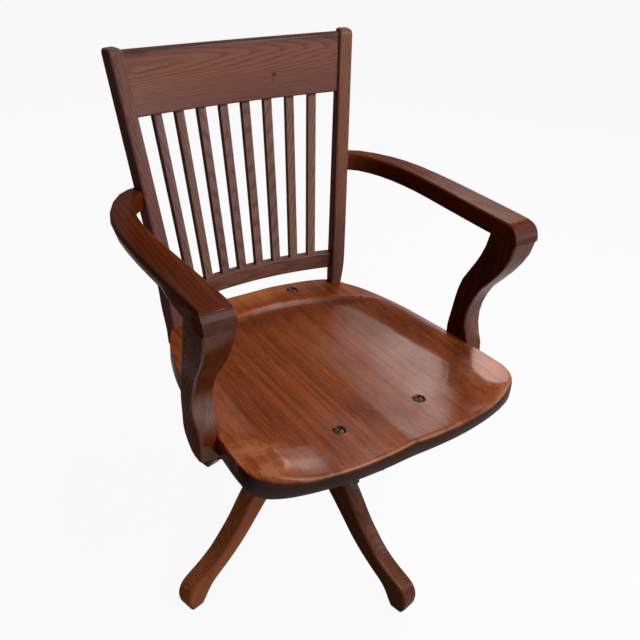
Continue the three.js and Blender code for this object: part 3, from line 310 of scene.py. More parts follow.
@effect("Oak figure", Grain=(0, 0, 0), Seed=0.0, Spacing=4 * MM, Pith=120 * MM)
def oak_figure(tree, grain, seed, spacing, pith):
    """Growth rings, pores, rays, fibres and broad tones of wood whose grain runs along the third axis."""
    moved = make(tree, "ShaderNodeVectorMath", {0: (3.1, 1.7, 5.3), "Scale": seed}, operation="SCALE")
    place = vectors(tree, "ADD", grain, moved.outputs[0])

    def drawn(across, along, detail=2):
        """Noise with so many grains to a metre across and along the wood."""
        return noise(tree, stretched(tree, place, across, along), detail=detail)

    wander = maths(tree, "SUBTRACT", drawn(9, 2.2), 0.5)
    ripple = maths(tree, "SUBTRACT", drawn(60, 9), 0.5)
    x, y, z = parts_of(tree, grain)
    across = maths(tree, "MULTIPLY_ADD", wander, 0.05, x)
    slant = maths(tree, "MULTIPLY_ADD", z, 0.05, maths(tree, "ADD", y, pith))
    squares = maths(tree, "ADD", times(tree, across, across), times(tree, slant, slant))
    radius = maths(tree, "MULTIPLY_ADD", ripple, 0.0016, maths(tree, "SQRT", squares))
    years = maths(tree, "ADD", maths(tree, "DIVIDE", radius, spacing), drawn(40, 0.6, 1))
    season = maths(tree, "FRACT", years)
    rings = maths(tree, "MAXIMUM", ramp(tree, season, 0.08, 0.5, 1, 0), ramp(tree, season, 0.9, 1))
    fine = ramp(tree, drawn(1150, 42, 1), 0.54, 0.66)
    coarse = ramp(tree, drawn(560, 30, 1), 0.6, 0.7)
    holes = maths(tree, "MAXIMUM", times(tree, fine, 0.6), coarse)
    return {
        "Rings": rings,
        "Pores": times(tree, holes, maths(tree, "MULTIPLY_ADD", rings, 0.75, 0.25)),
        "Rays": ramp(tree, drawn(210, 60, 1), 0.66, 0.75),
        "Fibres": drawn(1500, 16),
        "Tone": drawn(11, 2.4, 3),
        "Streaks": drawn(95, 1.4),
    }


@effect("Glued boards", Grain=(0, 0, 0), Width=84 * MM)
def glued_boards(tree, grain, width):
    """Boards glued edge to edge: each takes its own part of a log, with its own tone."""
    x, y, z = parts_of(tree, grain)
    boards = maths(tree, "DIVIDE", x, width)
    number = maths(tree, "FLOOR", boards)
    chance = make(tree, "ShaderNodeTexWhiteNoise", {"W": number}, noise_dimensions="1D").outputs[0]
    inside = maths(tree, "SUBTRACT", maths(tree, "FRACT", boards), 0.5)
    across = maths(tree, "MULTIPLY_ADD", inside, width, 0.115)
    across = maths(tree, "MULTIPLY_ADD", chance, 0.05, across)
    through = maths(tree, "SUBTRACT", y, 0.055)
    along = maths(tree, "MULTIPLY_ADD", number, 1.37, z)
    moved = make(tree, "ShaderNodeCombineXYZ", {0: across, 1: through, 2: along}).outputs[0]
    seam = ramp(tree, maths(tree, "ABSOLUTE", inside), 0.494, 0.499)
    return {"Grain": moved, "Seam": seam, "Tone": chance}


@effect("Handling", Place=(0, 0, 0), Facing=(0, 0, 0), Edge=0.0)
def handling(tree, place, facing, edge):
    """Smudges and nicks, rubbed edges that on wood also carry a painted highlight, and polish kept where a
    piece faces up or forward.
    """
    smudge = noise(tree, place, 17, 4, 0.6)
    patchy = ramp(tree, noise(tree, place, 34, 3), 0.38, 0.66)
    _, back, up = parts_of(tree, facing)
    seen = maths(tree, "MAXIMUM", up, times(tree, back, -1.0))
    return {
        "Smudge": smudge,
        "Rubbed": times(tree, edge, patchy),
        "Nicks": ramp(tree, noise(tree, place, 145), 0.7, 0.76),
        "Polish": times(tree, ramp(tree, seen, 0.1, 0.8), ramp(tree, smudge, 0.2, 0.7, 1.0, 0.6)),
    }


@effect("Spot", Place=(0, 0, 0), Middle=(0, 0, 0), Reach=(1, 1, 1), Softness=0.5)
def spot(tree, place, middle, reach, softness):
    """A soft spot of an oval shape at one place."""
    away = vectors(tree, "DIVIDE", vectors(tree, "SUBTRACT", place, middle), reach)
    far = make(tree, "ShaderNodeVectorMath", {0: away}, operation="LENGTH").outputs["Value"]
    return {"Mask": ramp(tree, far, maths(tree, "SUBTRACT", 1.0, softness), 1.0, 1, 0)}


def finish(build):
    """Makes a material, built once under its name, of a function that gives its main shader's sockets."""
    @functools.wraps(build)
    def material(name, *values, **options):
        made = bpy.data.materials.get(name)
        if not made:
            made = bpy.data.materials.new(name)
            made.use_nodes = True
            tree = made.node_tree
            plug(tree, tree.nodes["Principled BSDF"], build(tree, *values, **options))
        return made
    return material


@finish
def oak(tree, stain, gloss=0.34, coat=0.2, shine=0.26, figure=1.0, spacing=1.0, boards=0.0, spots=(),
        calm=1.0, warmth=1.0, rub=0.55):
    """Stained and polished oak; a spot has its middle, reach, tint, strength and softness."""
    wood = bpy.context.scene.chair_wood

    def stained(*shares):
        """The stain with more or less of its red, green and blue."""
        return tuple(level * part for level, part in zip(stain, shares))

    grain = attribute(tree, "grain", "Vector")
    if boards:
        grain, seam, board_tone = glued_boards(tree, Grain=grain, Width=boards)
    rings, pores, rays, fibres, tone, streaks = oak_figure(
        tree, Grain=stretched(tree, grain, 1, calm), Seed=attribute(tree, "seed"),
        Spacing=wood.ring_spacing * spacing, Pith=wood.pith_distance,
    )
    where = make(tree, "ShaderNodeTexCoord", {}).outputs
    place = where["Object"]
    smudge, rubbed, nicks, polish = handling(
        tree, Place=place, Facing=where["Normal"], Edge=attribute(tree, "edge"),
    )
    warm = ramp(tree, tone, 0.32, 0.68, 0, warmth)
    ground = blended(tree, warm, stained(0.8, 0.76, 0.8), stained(1.4, 1.3, 0.72))
    if boards:
        ground = layered(tree, ground, board_tone, 0.55, stained(0.84, 0.74, 0.9))
    for middle, reach, tint, strength, softness in spots:
        uneven = times(tree, ramp(tree, tone, 0.25, 0.6, 1 - softness, 1), strength)
        mask = spot(tree, Place=place, Middle=middle, Reach=reach, Softness=softness)["Mask"]
        ground = layered(tree, ground, mask, uneven, tint)
    deep, pale = stained(0.36, 0.3, 0.32), stained(1.7, 1.8, 2.0)
    layers = [
        (ramp(tree, streaks, 0.42, 0.68), 0.4 * figure, deep),
        (rings, 0.62 * figure, deep),
        (ramp(tree, fibres, 0.5, 0.62), 0.26 * figure, pale),
        (rays, 0.14 * figure, pale),
        (pores, 0.62 * figure, wood.pores),
        # Lighter rubbed edges: wear, and a painted highlight along the edges
        (rubbed, rub, wood.worn_and_highlight),
    ]
    if boards:
        layers.insert(-1, (seam, 0.5, wood.pores))
    for mask, strength, tint in layers:
        ground = layered(tree, ground, mask, strength, tint)
    rough = ramp(tree, smudge, 0.3, 0.75, gloss - 0.07, gloss + 0.13)
    height = maths(tree, "MULTIPLY_ADD", pores, -1.0, times(tree, rings, -0.4))
    height = maths(tree, "MULTIPLY_ADD", nicks, -0.8, height)
    return {
        # The seat's marked points darken towards this colour: painted shade down the side wall and in the rear
        # step
        "Base Color": blended(tree, attribute(tree, "grime"), ground, wood.grime),
        "Roughness": maths(tree, "MULTIPLY_ADD", pores, 0.2, rough),
        "Coat Weight": times(tree, polish, coat),
        "Coat Roughness": shine,
        "Specular IOR Level": 0.002,
        "Normal": bump(tree, height, 0.55, 0.25 * MM),
    }


@finish
def bare_dowel(tree):
    """Bare wood with pale fibres."""
    wood = bpy.context.scene.chair_wood
    place = make(tree, "ShaderNodeTexCoord", {}).outputs["Object"]
    fibres = noise(tree, stretched(tree, place, 700, 60), detail=3)
    return {
        "Base Color": blended(tree, fibres, wood.dowel, wood.dowel_fibre),
        "Roughness": ramp(tree, fibres, 0.2, 0.8, 0.6, 0.8),
        "Normal": bump(tree, fibres, 0.4, 0.2 * MM),
    }


@finish
def old_metal(tree, tint, metallic, gloss, bloom, rust, roughened, rubbing, skin, relief):
    """Metal with a bloom of rust, bright rubbed edges and a fine skin."""
    metal = bpy.context.scene.chair_metal
    place = make(tree, "ShaderNodeTexCoord", {}).outputs["Object"]
    smudge, rubbed, _, _ = handling(tree, Place=place, Edge=attribute(tree, "edge"))
    *grains, start, full = bloom
    rusted = ramp(tree, noise(tree, place, *grains), start, full)
    ground = layered(tree, tint, rusted, rust, metal.rust)
    across, along, detail = skin
    fine = noise(tree, stretched(tree, place, across, along), detail=detail)
    return {
        "Base Color": layered(tree, ground, rubbed, rubbing, metal.steel),
        "Metallic": metallic,
        "Roughness": maths(tree, "MULTIPLY_ADD", rusted, roughened, ramp(tree, smudge, 0.3, 0.7, *gloss)),
        "Normal": bump(tree, fine, *relief),
    }


def black_iron():
    """Black japanned cast iron with a sandy skin."""
    return old_metal(
        "Black iron", bpy.context.scene.chair_metal.iron, 0.75, gloss=(0.42, 0.62),
        bloom=(42, 5, 0.65, 0.52, 0.74), rust=0.65, roughened=0.2, rubbing=0.7, skin=(900, 900, 2),
        relief=(0.35, 0.3 * MM),
    )


def turned_steel(name, tint, gloss):
    """Oiled steel with the fine rings of the lathe."""
    return old_metal(
        name, tint, 0.95, gloss=(gloss - 0.06, gloss + 0.1), bloom=(120, 4, 0.6, 0.54, 0.7), rust=0.7,
        roughened=0.25, rubbing=0.5, skin=(90, 2600, 1), relief=(0.2, 0.08 * MM),
    )


def oiled_steel():
    return turned_steel("Oiled steel", bpy.context.scene.chair_metal.steel, 0.34)


# Shapes

SHARP = math.radians(50)
SLOT_SHARP = math.radians(40)


def quarter(steps):
    """The angles of a quarter turn."""
    return [math.pi / 2 * i / steps for i in range(steps + 1)]


def cut_level(shape, place, across):
    """Adds a row of points where a plane through a place crosses the shape."""
    bmesh.ops.bisect_plane(
        shape, geom=[*shape.verts, *shape.edges, *shape.faces], dist=TINY, plane_co=place, plane_no=across,
    )


def frame_copy(node):
    """A copy of a solid of the frame as a bmesh, its loose triangles joined into whole faces."""
    shape = bmesh.new()
    shape.from_mesh(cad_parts[node].data)
    merge, flat = 0.02 * MM, math.radians(0.25)
    bmesh.ops.remove_doubles(shape, verts=shape.verts, dist=merge)
    bmesh.ops.dissolve_degenerate(shape, edges=shape.edges, dist=merge)
    bmesh.ops.dissolve_limit(shape, angle_limit=flat, verts=shape.verts, edges=shape.edges)
    return shape


def soften(shape, width=0.0, joint=None):
    """Rounds the sharp edges, but not at a joint's height before some depth, and marks the strips as edge."""
    layer = shape.loops.layers.float.new("edge")
    if width:
        edges = [edge for edge in shape.edges if edge.is_manifold and edge.calc_face_angle(0) > SHARP]
        if joint:
            height, depth = joint
            edges = [edge for edge in edges if any(
                abs(vert.co.z - height) > 1 * MM or vert.co.y > depth for vert in edge.verts
            )]
        made = bmesh.ops.bevel(
            shape, geom=edges, offset=width, affect="EDGES", segments=2, profile=0.5, material=-1,
            clamp_overlap=True,
        )
        for face in made["faces"]:
            for loop in face.loops:
                loop[layer] = 1
    for face in shape.faces:
        face.smooth = True
    for edge in shape.edges:
        edge.smooth = not edge.is_manifold or edge.calc_face_angle(0) < SHARP


def settle(piece):
    """Writes an object's modifiers into its mesh."""
    graph = bpy.context.evaluated_depsgraph_get()
    seen = piece.evaluated_get(graph)
    mesh = bpy.data.meshes.new_from_object(seen, preserve_all_data_layers=True, depsgraph=graph)
    piece.modifiers.clear()
    old = piece.data
    piece.data = mesh
    bpy.data.meshes.remove(old)
    mesh.name = piece.name


def as_object(name, shape, normals=True):
    """The shape as an object, with face-weighted normals written into its mesh."""
    mesh = bpy.data.meshes.new(name)
    shape.to_mesh(mesh)
    shape.free()
    piece = bpy.data.objects.new(name, mesh)
    bpy.context.scene.collection.objects.link(piece)
    if normals:
        piece.modifiers.new("Normals", "WEIGHTED_NORMAL").keep_sharp = True
        settle(piece)
    return piece


def run_of(piece):
    """The way a long board runs, from its foot to its top."""
    places = sorted((vertex.co for vertex in piece.data.vertices), key=lambda place: place.z)
    end = max(len(places) // 12, 4)
    return sum(places[-end:], Vector()) / end - sum(places[:end], Vector()) / end


def grained(piece, along, across, seed, origin=None, bow=0.0):
    """Gives the wood of a piece its own figure and way of the grain, bent with a bowed board."""
    along = Vector(along or run_of(piece)).normalized()
    through = along.cross(Vector(across)).normalized()
    side = through.cross(along)
    mesh = piece.data
    box = [Vector(corner) for corner in piece.bound_box]
    middle = origin or sum(box, Vector()) / len(box)
    half = max(abs((corner - middle).dot(along)) for corner in box)
    grain = mesh.attributes.new("grain", "FLOAT_VECTOR", "POINT")
    for vertex, item in zip(mesh.vertices, grain.data):
        place = vertex.co - middle
        unbent = bow * (1 - (place.dot(along) / half) ** 2)
        item.vector = (place.dot(side), place.dot(through) + unbent, place.dot(along))
    for item in mesh.attributes.new("seed", "FLOAT", "POINT").data:
        item.value = seed


def finish_piece(piece, material, body, slot, node):
    """Gives a piece its material, and says what it rides on and the node it stands for; the slot is not used.
    """
    piece.data.materials.clear()
    piece.data.materials.append(material)
    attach(piece, body)
    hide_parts(node)


def wood_piece(node, material, body, slot, along, across, seed, width=None, shape=None, bow=0.0, joint=None):
    """A board of the chair: the frame's solid with worn edges and its own figure."""
    shape = shape or frame_copy(node)
    soften(shape, bpy.context.scene.chair_wood.edge_rounding if width is None else width, joint)
    piece = as_object(f"{node}_oak", shape)
    grained(piece, along, across, seed, bow=bow)
    finish_piece(piece, material, body, slot, node)


def plain_piece(node, name, material, body, slot, width=0.0):
    """The frame's solid with softened edges."""
    shape = frame_copy(node)
    soften(shape, width)
    piece = as_object(name, shape)
    finish_piece(piece, material, body, slot, node)
    return piece


def round_nose(shape, radius, steps=12):
    """Rounds the upper front end of an arm over to its front face, on one arc whatever was there before."""
    front = min(vert.co.y for vert in shape.verts)
    for turn in quarter(steps)[1:]:
        cut_level(shape, (0, front + radius * (1 - math.cos(turn)), 0), DEEP)
    row_depth = 0.2 * MM
    nose = sorted((vert for vert in shape.verts if vert.co.y < front + radius), key=lambda vert: vert.co.y)
    low, high = (pick(vert.co.z for vert in nose) for pick in (min, max))
    while nose:
        row = [vert for vert in nose if vert.co.y < nose[0].co.y + row_depth]
        nose = nose[len(row):]
        inset = radius - (row[0].co.y - front)
        drop = radius - math.sqrt(max(radius ** 2 - inset ** 2, 0))
        top = max(vert.co.z for vert in row)
        for vert in row:
            vert.co.z = low + (vert.co.z - low) * (high - drop - low) / (top - low)


def spun(shape, profile, steps, centre):
    """Turns a profile of (radius, height) about an upright line."""
    out = UP.orthogonal().normalized()
    verts = [shape.verts.new(centre + out * radius + UP * height) for radius, height in profile]
    edges = [shape.edges.new(pair) for pair in zip(verts, verts[1:])]
    bmesh.ops.spin(
        shape, geom=verts + edges, cent=centre, axis=UP, angle=2 * math.pi, steps=steps, use_merge=True,
    )
    bmesh.ops.remove_doubles(shape, verts=shape.verts, dist=TINY)
    bmesh.ops.recalc_face_normals(shape, faces=shape.faces)


def wound(shape, face, centre, rise, turns, steps):
    """Winds a face up round an upright line."""
    bmesh.ops.spin(
        shape, geom=[face, *face.edges, *face.verts], cent=centre, axis=UP, dvec=UP * (rise / steps),
        angle=2 * math.pi * turns, steps=steps, use_merge=False,
    )


def add_thread(shape, centre, radius, depth, bottom, top, pitch, steps):
    """A ridge wound round a rod from bottom to top, its crest at radius."""
    half, crest, root = pitch * 0.42, pitch * 0.08, radius - depth * 1.2
    sides = [(root, -half), (radius, -crest), (radius, crest), (root, half)]
    verts = [shape.verts.new(centre + Vector((out, 0, bottom + half + up))) for out, up in sides]
    turns = (top - bottom - 2 * half) / pitch
    wound(shape, shape.faces.new(verts), centre, pitch * turns, turns, round(turns * steps))


def cut_from(piece, cutters):
    """Cuts solids out of a piece and removes them."""
    for cutter in cutters:
        cut = piece.modifiers.new("Cut", "BOOLEAN")
        cut.operation = "DIFFERENCE"
        cut.solver = "EXACT"
        cut.object = cutter
        bpy.context.view_layer.update()
        settle(piece)
        mesh = cutter.data
        bpy.data.objects.remove(cutter)
        bpy.data.meshes.remove(mesh)


def cut_slot(piece, centre, top, radius, turn, width, depth):
    """Cuts a screwdriver slot across a screw's head."""
    slot = bmesh.new()
    place = Matrix.Translation((centre.x, centre.y, top)) @ Matrix.Rotation(math.radians(turn), 4, "Z")
    bmesh.ops.create_cube(slot, size=1, matrix=place @ Matrix.Diagonal((3 * radius, width, 2 * depth, 1)))
    cut_from(piece, [as_object("slot", slot, normals=False)])
    piece.data.set_sharp_from_angle(angle=SLOT_SHARP)


# Seat

# Half of the outline: share of the half width, share of the depth from the rear edge
OUTLINE_SHARES = [
    (0, 0), (0.175, 0), (0.34, 0.01), (0.5, 0.025), (0.63, 0.048), (0.69, 0.072),
    (0.73, 0.11), (0.79, 0.165), (0.855, 0.26), (0.903, 0.36), (0.942, 0.5), (0.972, 0.62),
    (0.992, 0.74), (1, 0.81), (0.997, 0.862), (0.977, 0.9), (0.94, 0.924), (0.89, 0.941),
    (0.82, 0.957), (0.7, 0.974), (0.55, 0.988), (0.39, 0.997), (0.2, 1), (0, 0.998),
]
CORNER_SHARE = 0.862
# Bolt recesses and holes, and how far a cutter stands out of the wood
RECESS_PLAY, RECESS_DEPTH, HOLE_RADIUS = 0.3 * MM, 4.3 * MM, 4.3 * MM
OVERSHOOT, STRETCH = 6 * MM, 4 * MM
# Painted shade on the side wall starts at a depth under the top and thickens over a reach
SHADE_START, SHADE_REACH = 1.5 * MM, 3.5 * MM
# Widths of the front lip's rubbed and painted highlight and of the darker ring round a bolt, and how deep the
# upper face lies at most
LIP_RUB_AND_HIGHLIGHT, BOLT_RING, FACE_DEPTH = 9 * MM, 1.2 * MM, 30 * MM


def within(value, low=0, high=1):
    return min(max(value, low), high)


def ease(value):
    value = within(value)
    return value * value * (3 - 2 * value)


def cove(value):
    """Steep at first, then level, its start a little rounded."""
    value = min((value + math.hypot(value, 0.03)) / 2, 1)
    return value * (2 - value)


def bell(value):
    return math.exp(-value * value)


def arc_drop(radius, inset):
    """How far a rounded edge lies under its top at some way in from its side."""
    return radius - math.sqrt(radius ** 2 - (radius - inset) ** 2)


def seat_outline(seat, count):
    """The outline as points counter-clockwise from above, on a smooth curve through its shares."""
    half = [Vector((x * seat.half_width, SEAT_HIGH.y - y * seat.depth, 0)) for x, y in OUTLINE_SHARES]
    knees = half + [Vector((-place.x, place.y, 0)) for place in reversed(half[1:-1])]
    points = []
    for step in range(count):
        index, part = divmod(step * len(knees) / count, 1)
        before, start, end, after = (knees[(int(index) + i) % len(knees)] for i in (-1, 0, 1, 2))
        knots = [0]
        for first, second in ((before, start), (start, end), (end, after)):
            knots.append(knots[-1] + math.sqrt(max((second - first).length, 1e-9)))
        now = knots[1] + part * (knots[2] - knots[1])
        middle = (now - knots[1]) / (knots[2] - knots[1])
        one, two = before.lerp(start, now / knots[1]), start.lerp(end, middle)
        three = end.lerp(after, (now - knots[2]) / (knots[3] - knots[2]))
        four, five = one.lerp(two, now / knots[2]), two.lerp(three, (now - knots[1]) / (knots[3] - knots[1]))
        points.append(four.lerp(five, middle))
    return points[::-1]


class Table:
    """A function of one value, sampled once and read between its samples."""

    def __init__(self, function, low, high, count=500):
        self.low = low
        self.step = (high - low) / count
        self.values = [function(low + i * self.step) for i in range(count + 1)]

    def __call__(self, value):
        place = within((value - self.low) / self.step, 0, len(self.values) - 1.0001)
        index = int(place)
        return self.values[index] + (place - index) * (self.values[index + 1] - self.values[index])


class Saddle:
    """The seat's upper surface: hollow, rear step, ears and front lip."""

    def __init__(self, seat):
        self.seat = seat
        self.outline = seat_outline(seat, seat.around)
        widest = max(place.x for place in self.outline) - TINY
        self.rearmost = max(place.y for place in self.outline) - TINY
        corner = self.rearmost - CORNER_SHARE * seat.depth
        self.fronts = Table(lambda x: min(self.crossings(0, x)), 0, widest)
        self.sides = Table(lambda y: max(self.crossings(1, y)), corner, self.rearmost)

    def crossings(self, axis, place):
        """Where the outline crosses a line on which one of x and y is fixed."""
        other = 1 - axis
        found = []
        for first, second in zip(self.outline, self.outline[1:] + self.outline[:1]):
            if (first[axis] - place) * (second[axis] - place) <= 0 and first[axis] != second[axis]:
                part = (place - first[axis]) / (second[axis] - first[axis])
                found.append(first[other] + part * (second[other] - first[other]))
        return found

    def front(self, x):
        return self.fronts(abs(x))

    def eared(self, x, y):
        """How far a place lies forward into the ears' stretch."""
        return ease((self.front(x) + self.seat.ear_reach - y) / self.seat.ear_growth)

    def hollow(self, x, y):
        """How far the surface lies below the rim, without the lip, and the shares that shape it."""
        seat = self.seat
        front = self.front(x)
        step = self.rearmost - seat.rim_width - seat.rim_bow * (x / seat.half_width) ** 2
        along = (step - y) / (step - front)
        at_ears = self.eared(x, y)
        ahead = within((front + seat.ear_rounding - y) / seat.ear_rounding)
        rim = seat.side_rim + (seat.ear_width * math.sqrt(1 - ahead * ahead) - seat.side_rim) * at_ears
        slope = seat.side_slope + (seat.ear_slope - seat.side_slope) * at_ears
        inward = (self.sides(y) - rim - abs(x)) / slope
        side = ease(inward) + (cove(inward) - ease(inward)) * at_ears
        rear = ease((step - y) / seat.step_width)
        bottom = seat.step + (seat.saddle - seat.step) * math.sin(math.pi * within(along))
        crease = ease(1.6 * along - 0.7)
        round_top = bell(x / seat.ridge_width)
        sharp_top = math.exp(-math.hypot(x, 1.5 * MM) / (0.75 * seat.ridge_width))
        ridge = seat.ridge * (round_top + (sharp_top - round_top) * crease) * ease(along)
        return (bottom - ridge) * side * rear, side, rear

    def height(self, x, y):
        lip = self.seat.lip_radius
        return SEAT_HIGH.z - self.hollow(x, y)[0] - arc_drop(lip, within(y - self.front(x), 0, lip))


def seat_rings(seat, saddle):
    """The seat's rings of points, from its underside up over the edge to the middle of the saddle."""
    outline = saddle.outline
    ahead = outline[1:] + outline[:1]
    ways = [(after - before).normalized() for before, after in zip(outline[-1:] + outline[:-1], ahead)]
    inwards = [Vector((-way.y, way.x, 0)) for way in ways]
    curl = seat.undercut_height * 0.4
    for turn in quarter(6):
        inset = seat.undercut + curl * (1 - math.sin(turn))
        up = UP * (SEAT_LOW.z + curl * (1 - math.cos(turn)))
        yield [place + inward * inset + up for place, inward in zip(outline, inwards)]
    yield [place + UP * (SEAT_LOW.z + seat.undercut_height) for place in outline]
    middle = Vector((0, SEAT_HIGH.y - seat.depth * 0.54, 0))
    for i in range(seat.rings + 1):
        shrink = (i / (seat.rings + 1)) ** 1.6
        ring = []
        for start in outline:
            x, y, _ = place = start.lerp(middle, shrink)
            drop = arc_drop(seat.edge_rounding, min((start - place).length, seat.edge_rounding))
            on_side = ease((y - saddle.front(x) - seat.lip_radius * 0.3) / seat.lip_radius)
            ring.append(Vector((x, y, saddle.height(x, y) - drop * on_side)))
        yield ring


def seat_shape(seat, saddle):
    """The seat, extruded ring by ring."""
    rings = seat_rings(seat, saddle)
    shape = bmesh.new()
    order = shape.verts.layers.int.new("order")
    verts = bmesh.ops.create_circle(shape, segments=len(saddle.outline), radius=1)["verts"]
    for index, (vert, place) in enumerate(zip(verts, next(rings))):
        vert[order] = index
        vert.co = place
    edges = first = list(shape.edges)
    for ring in rings:
        made = bmesh.ops.extrude_edge_only(shape, edges=edges)["geom"]
        edges = [item for item in made if isinstance(item, bmesh.types.BMEdge)]
        for vert in (item for item in made if isinstance(item, bmesh.types.BMVert)):
            vert.co = ring[vert[order]]
    bmesh.ops.edgeloop_fill(shape, edges=first)
    bmesh.ops.poke(shape, faces=bmesh.ops.edgeloop_fill(shape, edges=edges)["faces"])
    shape.verts.layers.int.remove(order)
    bmesh.ops.recalc_face_normals(shape, faces=shape.faces)
    return shape


def cylinder_cutter(centre, radius, bottom, top):
    shape = bmesh.new()
    bmesh.ops.create_cone(
        shape, cap_ends=True, segments=32, radius1=radius, radius2=radius, depth=top - bottom,
        matrix=Matrix.Translation(centre + UP * (bottom + top) / 2),
    )
    return as_object("cutter", shape, normals=False)


def frame_cutter(node):
    """A copy of a solid of the frame whose foot is stretched down, so that it cuts through."""
    shape = frame_copy(node)
    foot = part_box(node)[0][2]
    for vert in shape.verts:
        if vert.co.z < foot + 1 * MM:
            vert.co.z -= STRETCH
    return as_object("cutter", shape, normals=False)


class CHAIR_OT_seat(bpy.types.Operator):
    """Build the saddle seat with its bolt recesses and notches"""

    bl_idname = "chair.seat"
    bl_label = "Seat"

    def execute(self, context):
        seat, wood = context.scene.chair_seat, context.scene.chair_wood
        saddle = Saddle(seat)
        piece = as_object("saddle_seat", seat_shape(seat, saddle), normals=False)
        level = SEAT_HIGH.z
        bolts = [upright(f"seat_bolt_{corner}") for corner in BOLT_SLOTS]
        cutters = []
        for centre, radius, _, top in bolts:
            cutters.append(cylinder_cutter(centre, radius + RECESS_PLAY, top - RECESS_DEPTH, level + OVERSHOOT))
            cutters.append(cylinder_cutter(centre, HOLE_RADIUS, SEAT_LOW.z - OVERSHOOT, top))
        notched = ("stile_right", "stile_left", "arm_post_right", "arm_post_left")
        cutters += [frame_cutter(node) for node in notched]
        cut_from(piece, cutters)
        grained(piece, (0, -1, 0), WIDE, 2.0, origin=Vector((0, 0, level)))
        self.mark(piece.data, saddle, bolts)
        piece.data.shade_smooth()
        piece.data.set_sharp_from_angle(angle=SHARP)
        spots = [
            ((0.018, -0.02, level), (0.045, 0.14, 0.05), wood.golden, 0.5, 0.9),
            # Dark purplish patches in the hollow: old polish with a painted dark sheen
            ((-0.017, -0.19, level), (0.035, 0.07, 0.05), wood.polish_and_sheen, 0.75, 0.9),
            ((-0.01, 0.115, level), (0.1, 0.035, 0.05), wood.polish_and_sheen, 0.6, 0.9),
            ((0.005, 0.18, level), (0.08, 0.028, 0.05), wood.golden, 0.75, 0.6),
            # Painted shadow of the right arm on the seat's right rim
            ((0.235, -0.15, level), (0.03, 0.07, 0.05), wood.grime, 0.8, 0.8),
            # Painted highlight on the right ear, pale like polish rubbed thin
            ((0.215, -0.215, level), (0.05, 0.055, 0.05), wood.rubbed, 0.6, 0.7),
            # Small dark marks: one on the rim, two thin lines down the front edge
            ((0.184, 0.087, level), (0.006, 0.004, 0.02), wood.grime, 0.9, 0.4),
            ((-0.06, -0.299, level - 0.02), (0.0016, 0.02, 0.012), wood.grime, 0.9, 0.4),
            ((-0.197, -0.278, level - 0.02), (0.002, 0.02, 0.01), wood.grime, 0.9, 0.4),
        ]
        material = oak(
            "Saddle oak", wood.seat, gloss=0.33, coat=0.31, shine=0.28, figure=1.6, spacing=0.85,
            boards=seat.board_width, spots=spots, calm=0.35,
        )
        finish_piece(piece, material, "seat", "seat_oak", "seat_plank")
        return {"FINISHED"}

    def mark(self, mesh, saddle, bolts):
        """Lighter lip and ears, partly wear and partly painted highlight, painted shade down the side wall and
        in the rear step, and a darker ring round each bolt, from where each point lies.
        """
        for name in ("edge", "grime"):
            mesh.attributes.new(name, "FLOAT", "POINT")
        edge, grime = (mesh.attributes[name].data for name in ("edge", "grime"))
        for index, vertex in enumerate(mesh.vertices):
            x, y, z = vertex.co
            depth, side, rear = saddle.hollow(x, y)
            # Painted shade: darker down the side wall and front edge below the top
            rubbed, shade_and_grime = 0.0, 0.92 * ease((SEAT_HIGH.z - depth - z - SHADE_START) / SHADE_REACH)
            if z > SEAT_HIGH.z - FACE_DEPTH and vertex.normal.z > 0.3:
                lip = y - saddle.front(x)
                # Lighter front lip and flat ears: wear, and a painted highlight where light catches them
                rubbed = max(bell(lip / LIP_RUB_AND_HIGHLIGHT), 0.7 * saddle.eared(x, y) * (1 - side))
                # Painted shade in the crease of the rear step
                shade_and_grime = max(shade_and_grime, 0.75 * bell((rear - 0.75) / 0.25) * side)
                # A darker ring round each bolt
                for centre, radius, _, _ in bolts:
                    away = math.hypot(x - centre.x, y - centre.y)
                    shade_and_grime = max(shade_and_grime, 0.9 * bell((away - radius) / BOLT_RING))
            edge[index].value, grime[index].value = rubbed, shade_and_grime


class CHAIR_OT_back(bpy.types.Operator):
    """Build the crest rail, lower rail, stiles and slats"""

    bl_idname = "chair.back"
    bl_label = "Back"

    def execute(self, context):
        wood = context.scene.chair_wood
        back = oak("Back oak", wood.back, coat=0.15, figure=0.6, spacing=0.4, calm=0.35, warmth=0.45)
        # Dark marks: two small ones low on the crest, a dark joint at its right end, and a darker band along
        # its top
        spots = [
            ((0.077, 0.25, 0.8357), (0.007, 0.03, 0.006), wood.grime, 0.9, 0.7),
            ((0.0735, 0.25, 0.826), (0.003, 0.03, 0.007), wood.grime, 0.6, 0.7),
            ((0.209, 0.24, 0.86), (0.0016, 0.06, 0.06), wood.grime, 0.8, 0.3),
            ((0, 0.25, corners("crest_rail")[1].z), (2, 2, 0.013), wood.grime, 0.7, 0.5),
        ]
        crest = oak(
            "Crest oak", wood.back, coat=0.15, figure=0.6, spacing=0.28, spots=spots, calm=0.3, warmth=0.4,
        )
        slats = oak("Slat oak", wood.slats, coat=0.15, figure=0.8, spacing=0.42, calm=0.3, warmth=0.4)
        wood_piece("crest_rail", crest, "seat", "frame_oak", WIDE, UP, 11.0, bow=wood.crest_bow)
        wood_piece("lower_rail", back, "seat", "frame_oak", WIDE, UP, 12.0, bow=wood.rail_bow)
        for side, seed in (("right", 15.0), ("left", 13.0)):
            wood_piece(f"stile_{side}", back, "seat", "frame_oak", None, WIDE, seed)
        for i in range(1, 9):
            wood_piece(f"slat_{i}", slats, "seat", "frame_oak", None, WIDE, 20.0 + i, width=0.0)
        return {"FINISHED"}


